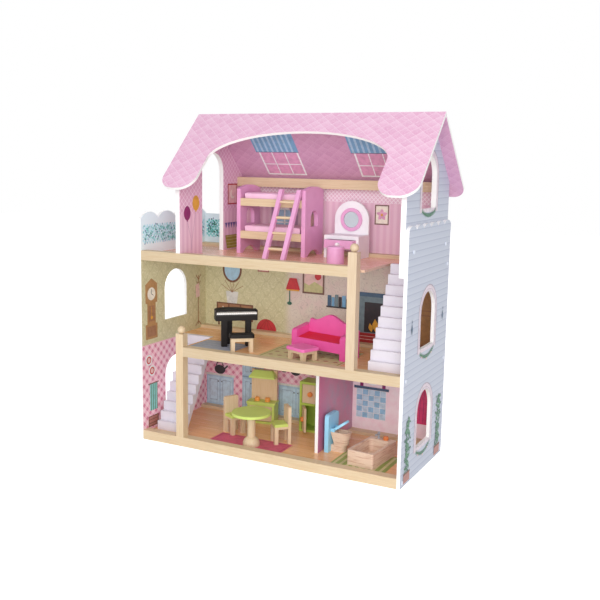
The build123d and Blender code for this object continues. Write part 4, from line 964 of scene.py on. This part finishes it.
# The rear trellis is printed a step darker: partly darker leaves, partly painted shade.
darker_and_shaded_hedge = ("leaf_pale", "fern", "leaf_dark")
for name, spot, outward, low_across, high_across, (lath, pale, deep) in (
    ("trellis_print", on_side(-wall_in), to_right, -118.0, 116.0, pale_hedge),
    ("rear_trellis_print", on_back, to_front, -290.0, -204.0, darker_and_shaded_hedge),
):
    share = (high_across - low_across) / full_width
    leafy = (low_across + 4, high_across - 4, 428, 464)
    flowery = (low_across + 4, high_across - 4, 424, 468)
    hedge = Print(name, spot, outward)
    hedge.lay(lath, *trellis(low_across, high_across, 426.0, 466.0, 9.0, 3.0))
    hedge.lay(pale, *scatter(chance, int(200 * share), leafy, 7.0, 3.4))
    hedge.lay(deep, *scatter(chance, int(90 * share), leafy, 6.0, 3.0))
    hedge.lay("violet", *scatter(chance, int(70 * share), flowery, 4.5, 2.4))
    hedge.done()

# Bathroom: a tiled panel under a shelf with two jars and a round mirror, and a towel
bath = Print("bath_print", on_back, to_front)
bath.lay("snow", block(104, 174, 46, 112))
for cell in bath.sharing(range(25)):
    column, row = divmod(cell, 5)
    left, low = 105.0 + column * 13.8, 47.2 + row * 13.0
    bath.lay("tile_blue" if (column + row) % 2 else "slate_light", block(left, left + 12.8, low, low + 12.0))
bath.lay("navy", block(98, 180, 112, 118))
bath.lay("plum", block(112, 120, 118, 134), block(164, 172, 118, 130))
bath.lay("snow", disc(142, 142, 20))
bath.lay("sky_pale", disc(142, 142, 16))
bath.lay("magenta", block(244, 286, 52, 142))
bath.lay("plum", *[stroke([(across, 56), (across + 1.5, 138)], 0.8)[0] for across in (251, 259, 267, 276)])
bath.done()

# Skylights with striped blinds, under the rear roof board
pane_width, pane_top, pane_foot = 96.0, 92, 166
blind_top, blind_foot = 44, 98
for number, left in enumerate((-121.0, 104.0)):
    skylight = Print(f"skylight_print_{number}", on_roof, (0, -root_half, -root_half))
    right_edge = left + pane_width
    pane = (left, right_edge, pane_top, pane_foot)
    skylight.lay("pane", block(*pane))
    skylight.lay("snow", *edging(*pane, 4.0))
    mullions = [block(left + 31 * i, left + 31 * i + 2.4, pane_top, pane_foot) for i in (1, 2)]
    skylight.lay("snow", *mullions, block(left, right_edge, 132, 134.4))
    bands = [block(left - 2 + 12 * i, left + 3 + 12 * i, blind_top, blind_foot) for i in range(8)]
    skylight.lay("sky", block(left - 6, right_edge + 2, blind_top, blind_foot))
    skylight.lay("sky_pale", *bands)
    skylight.lay("navy", block(left - 6, right_edge + 2, blind_foot - 1.5, blind_foot))
    skylight.done()

# Outside: banded arches with garlands under them, lozenge plates, and ivy that climbs from troughs
arches = [(base, base + 68.0) for base in (55.0, 251.5)]
for name, x, outward in (("right", wall_out, to_right), ("left", -wall_out, to_left)):
    outside = Print(f"{name}_outside_print", on_side(x), outward)
    for base, spring in outside.sharing(arches):
        outside.lay("trim", *arch_band(base, spring, 42.0, 54.0), block(-54, 54, base - 7.0, base))
        rims = arch_band(base - 6.0, spring, 53.0, 55.0) + arch_band(base, spring, 46.0, 46.8)
        outside.lay("trim_line", *rims)
    for base, spring in outside.sharing(arches):
        outside.lay("leaf_dark", *festoon(42.0, base - 12.0, 11.0, 60.0))
        outside.lay("leaf", *festoon(40.0, base - 13.0, 11.0, 120.0))
        outside.lay("blush", *[disc(across, base - 24 + abs(across) / 4, 2.4, 12) for across in (-28, 0, 28)])
    greens = random.Random(7)
    for across in outside.sharing((-92.0, 92.0)):
        outside.lay("leaf_dark", *scatter(greens, 80, (across - 11, across + 11, 24, 126), 9.0, 5.0))
        outside.lay("leaf", *scatter(greens, 70, (across - 10, across + 10, 26, 128), 8.0, 4.2))
        outside.lay("terracotta", block(across - 17, across + 17, 5, 24))
        outside.lay("brown", block(across - 18, across + 18, 21, 25))
        outside.lay("navy", oval(across, 300, 4.5, 11.0, 4), oval(across, 315, 2.2, 3.5, 4))
    outside.done()
sill, spring = 520.0, 578.0
gable_trim = Print("gable_outside_print", on_side(gable_right_out), to_right)
gable_band = arch_band(sill, spring, 42.0, 53.0)
gable_trim.lay("trim", *gable_band, block(-53, 53, sill - 7, sill))
gable_trim.lay("trim_line", *arch_band(sill, spring, 52.0, 54.0))
gable_trim.lay("leaf_dark", *festoon(42.0, 512.0, 9.0, 60.0))
gable_trim.lay("leaf", *festoon(40.0, 511.0, 9.0, 120.0))
gable_trim.done()

# Rugs on the floors
rug_lift = 0.04
rugs = Print("ground_rugs", on_floor(ground_floor), to_top, rug_lift)
rugs.lay("rug_red", block(-146, 28, -102, -34))
rugs.lay("rug_deep", *edging(-142, 24, -98, -38, 3.0))
rugs.lay("grass", block(140, 256, -96, 4))
rugs.lay("moss_pale", *[block(144 + 14 * i, 150 + 14 * i, -92, 0) for i in range(8)])
rugs.done()
rugs = Print("living_rugs", on_floor(living_floor), to_top, rug_lift)
rugs.lay("moss_pale", block(-34, 150, -102, 46))
rugs.lay("moss", *edging(-30, 146, -98, 42, 3.0))
rugs.lay("brown_light", *[oval(-16 + 21 * i, -86 + 29 * row, 7, 5, 4) for i in range(8) for row in range(5)])
rugs.lay("rug_grey", block(-202, -92, -102, -6))
rug_bands = [block(-194, -100, -88 + 18 * i, -85 + 18 * i) for i in range(5)]
rugs.lay("rug_blue", *edging(-198, -96, -98, -10, 3.0), *rug_bands)
rugs.done()


def seen_rays(tree):
    """One for what the camera sees, straight or in gloss and glass, and nought for light."""
    paths = tree.nodes.new("ShaderNodeLightPath")
    seen = paths.outputs["Is Camera Ray"]
    for kind in ("Is Glossy Ray", "Is Transmission Ray"):
        either = tree.nodes.new("ShaderNodeMath")
        either.operation = "MAXIMUM"
        tree.links.new(seen, either.inputs[0])
        tree.links.new(paths.outputs[kind], either.inputs[1])
        seen = either.outputs["Value"]
    return seen


# Floor: pale, with a glow that only the camera sees, so that it reaches white and keeps its shadow
plain_white = (1.0, 1.0, 1.0, 1.0)
bpy.ops.mesh.primitive_plane_add(size=12.0, location=(0.0, 0.0, -0.5 * millimetre))
floor = bpy.context.object
floor.name = "stage_floor"
floor_paint = bpy.data.materials.new("stage_floor")
floor_paint.use_nodes = True
floor_tree = floor_paint.node_tree
floor_shader = floor_tree.nodes["Principled BSDF"]
floor_look = {"Base Color": (0.86, 0.86, 0.86, 1.0), "Roughness": 0.9, "Emission Color": plain_white}
for name, value in floor_look.items():
    floor_shader.inputs[name].default_value = value
floor_glow = floor_tree.nodes.new("ShaderNodeMath")
floor_glow.operation = "MULTIPLY"
floor_glow.inputs[1].default_value = 0.62
floor_tree.links.new(seen_rays(floor_tree), floor_glow.inputs[0])
floor_tree.links.new(floor_glow.outputs["Value"], floor_shader.inputs["Emission Strength"])
floor.data.materials.append(floor_paint)

# Background: white to the camera and in reflections, softer as a light
world = bpy.data.worlds.new("studio")
bpy.context.scene.world = world
world.use_nodes = True
sky_tree = world.node_tree
sky = sky_tree.nodes["Background"]
level = sky_tree.nodes.new("ShaderNodeMapRange")
sky_tree.links.new(seen_rays(sky_tree), level.inputs["Value"])
level.inputs["To Min"].default_value = 0.6
level.inputs["To Max"].default_value = 1.0
sky_tree.links.new(level.outputs["Result"], sky.inputs["Strength"])
sky.inputs["Color"].default_value = plain_white

# Lamps
lamp_size = 1.6


def lamp(name, place, target_height, power):
    """A square area lamp that points at the house. Its place is in metres."""
    light = bpy.data.lights.new(name, "AREA")
    light.size = lamp_size
    light.energy = power
    piece = bpy.data.objects.new(name, light)
    bpy.context.collection.objects.link(piece)
    piece.location = place
    aim = Vector((0.0, 0.0, target_height)) - Vector(place)
    piece.rotation_euler = aim.to_track_quat("-Z", "Y").to_euler()


lamp("key_light", (0.6, -2.0, 1.2), target_height=0.35, power=22.0)
lamp("front_light", (1.3, -2.0, 0.4), target_height=0.32, power=23.0)
lamp("back_light", (-1.9, 1.5, 1.3), target_height=0.35, power=16.0)

# Camera at the photograph's place
camera_place = Vector((803.0 - middle_x, -1549.2, 605.7)) * millimetre
yaw, pitch, roll = (math.radians(angle) for angle in (26.78, 9.41, 0.99))
forward = Vector((-math.sin(yaw) * math.cos(pitch), math.cos(yaw) * math.cos(pitch), -math.sin(pitch)))
level_right = Vector((math.cos(yaw), math.sin(yaw), 0.0))
level_up = level_right.cross(forward)
right = level_right * math.cos(roll) + level_up * math.sin(roll)
up = level_up * math.cos(roll) - level_right * math.sin(roll)
lens = bpy.data.cameras.new("photo_camera")
lens.sensor_width = 36.0
lens.lens = 50.518
lens.clip_end = 30.0
camera = bpy.data.objects.new("photo_camera", lens)
bpy.context.collection.objects.link(camera)
turn = Matrix((right, up, -forward)).transposed().to_4x4()
camera.matrix_world = Matrix.Translation(camera_place) @ turn
bpy.context.scene.camera = camera
bpy.context.scene.view_settings.view_transform = "Standard"
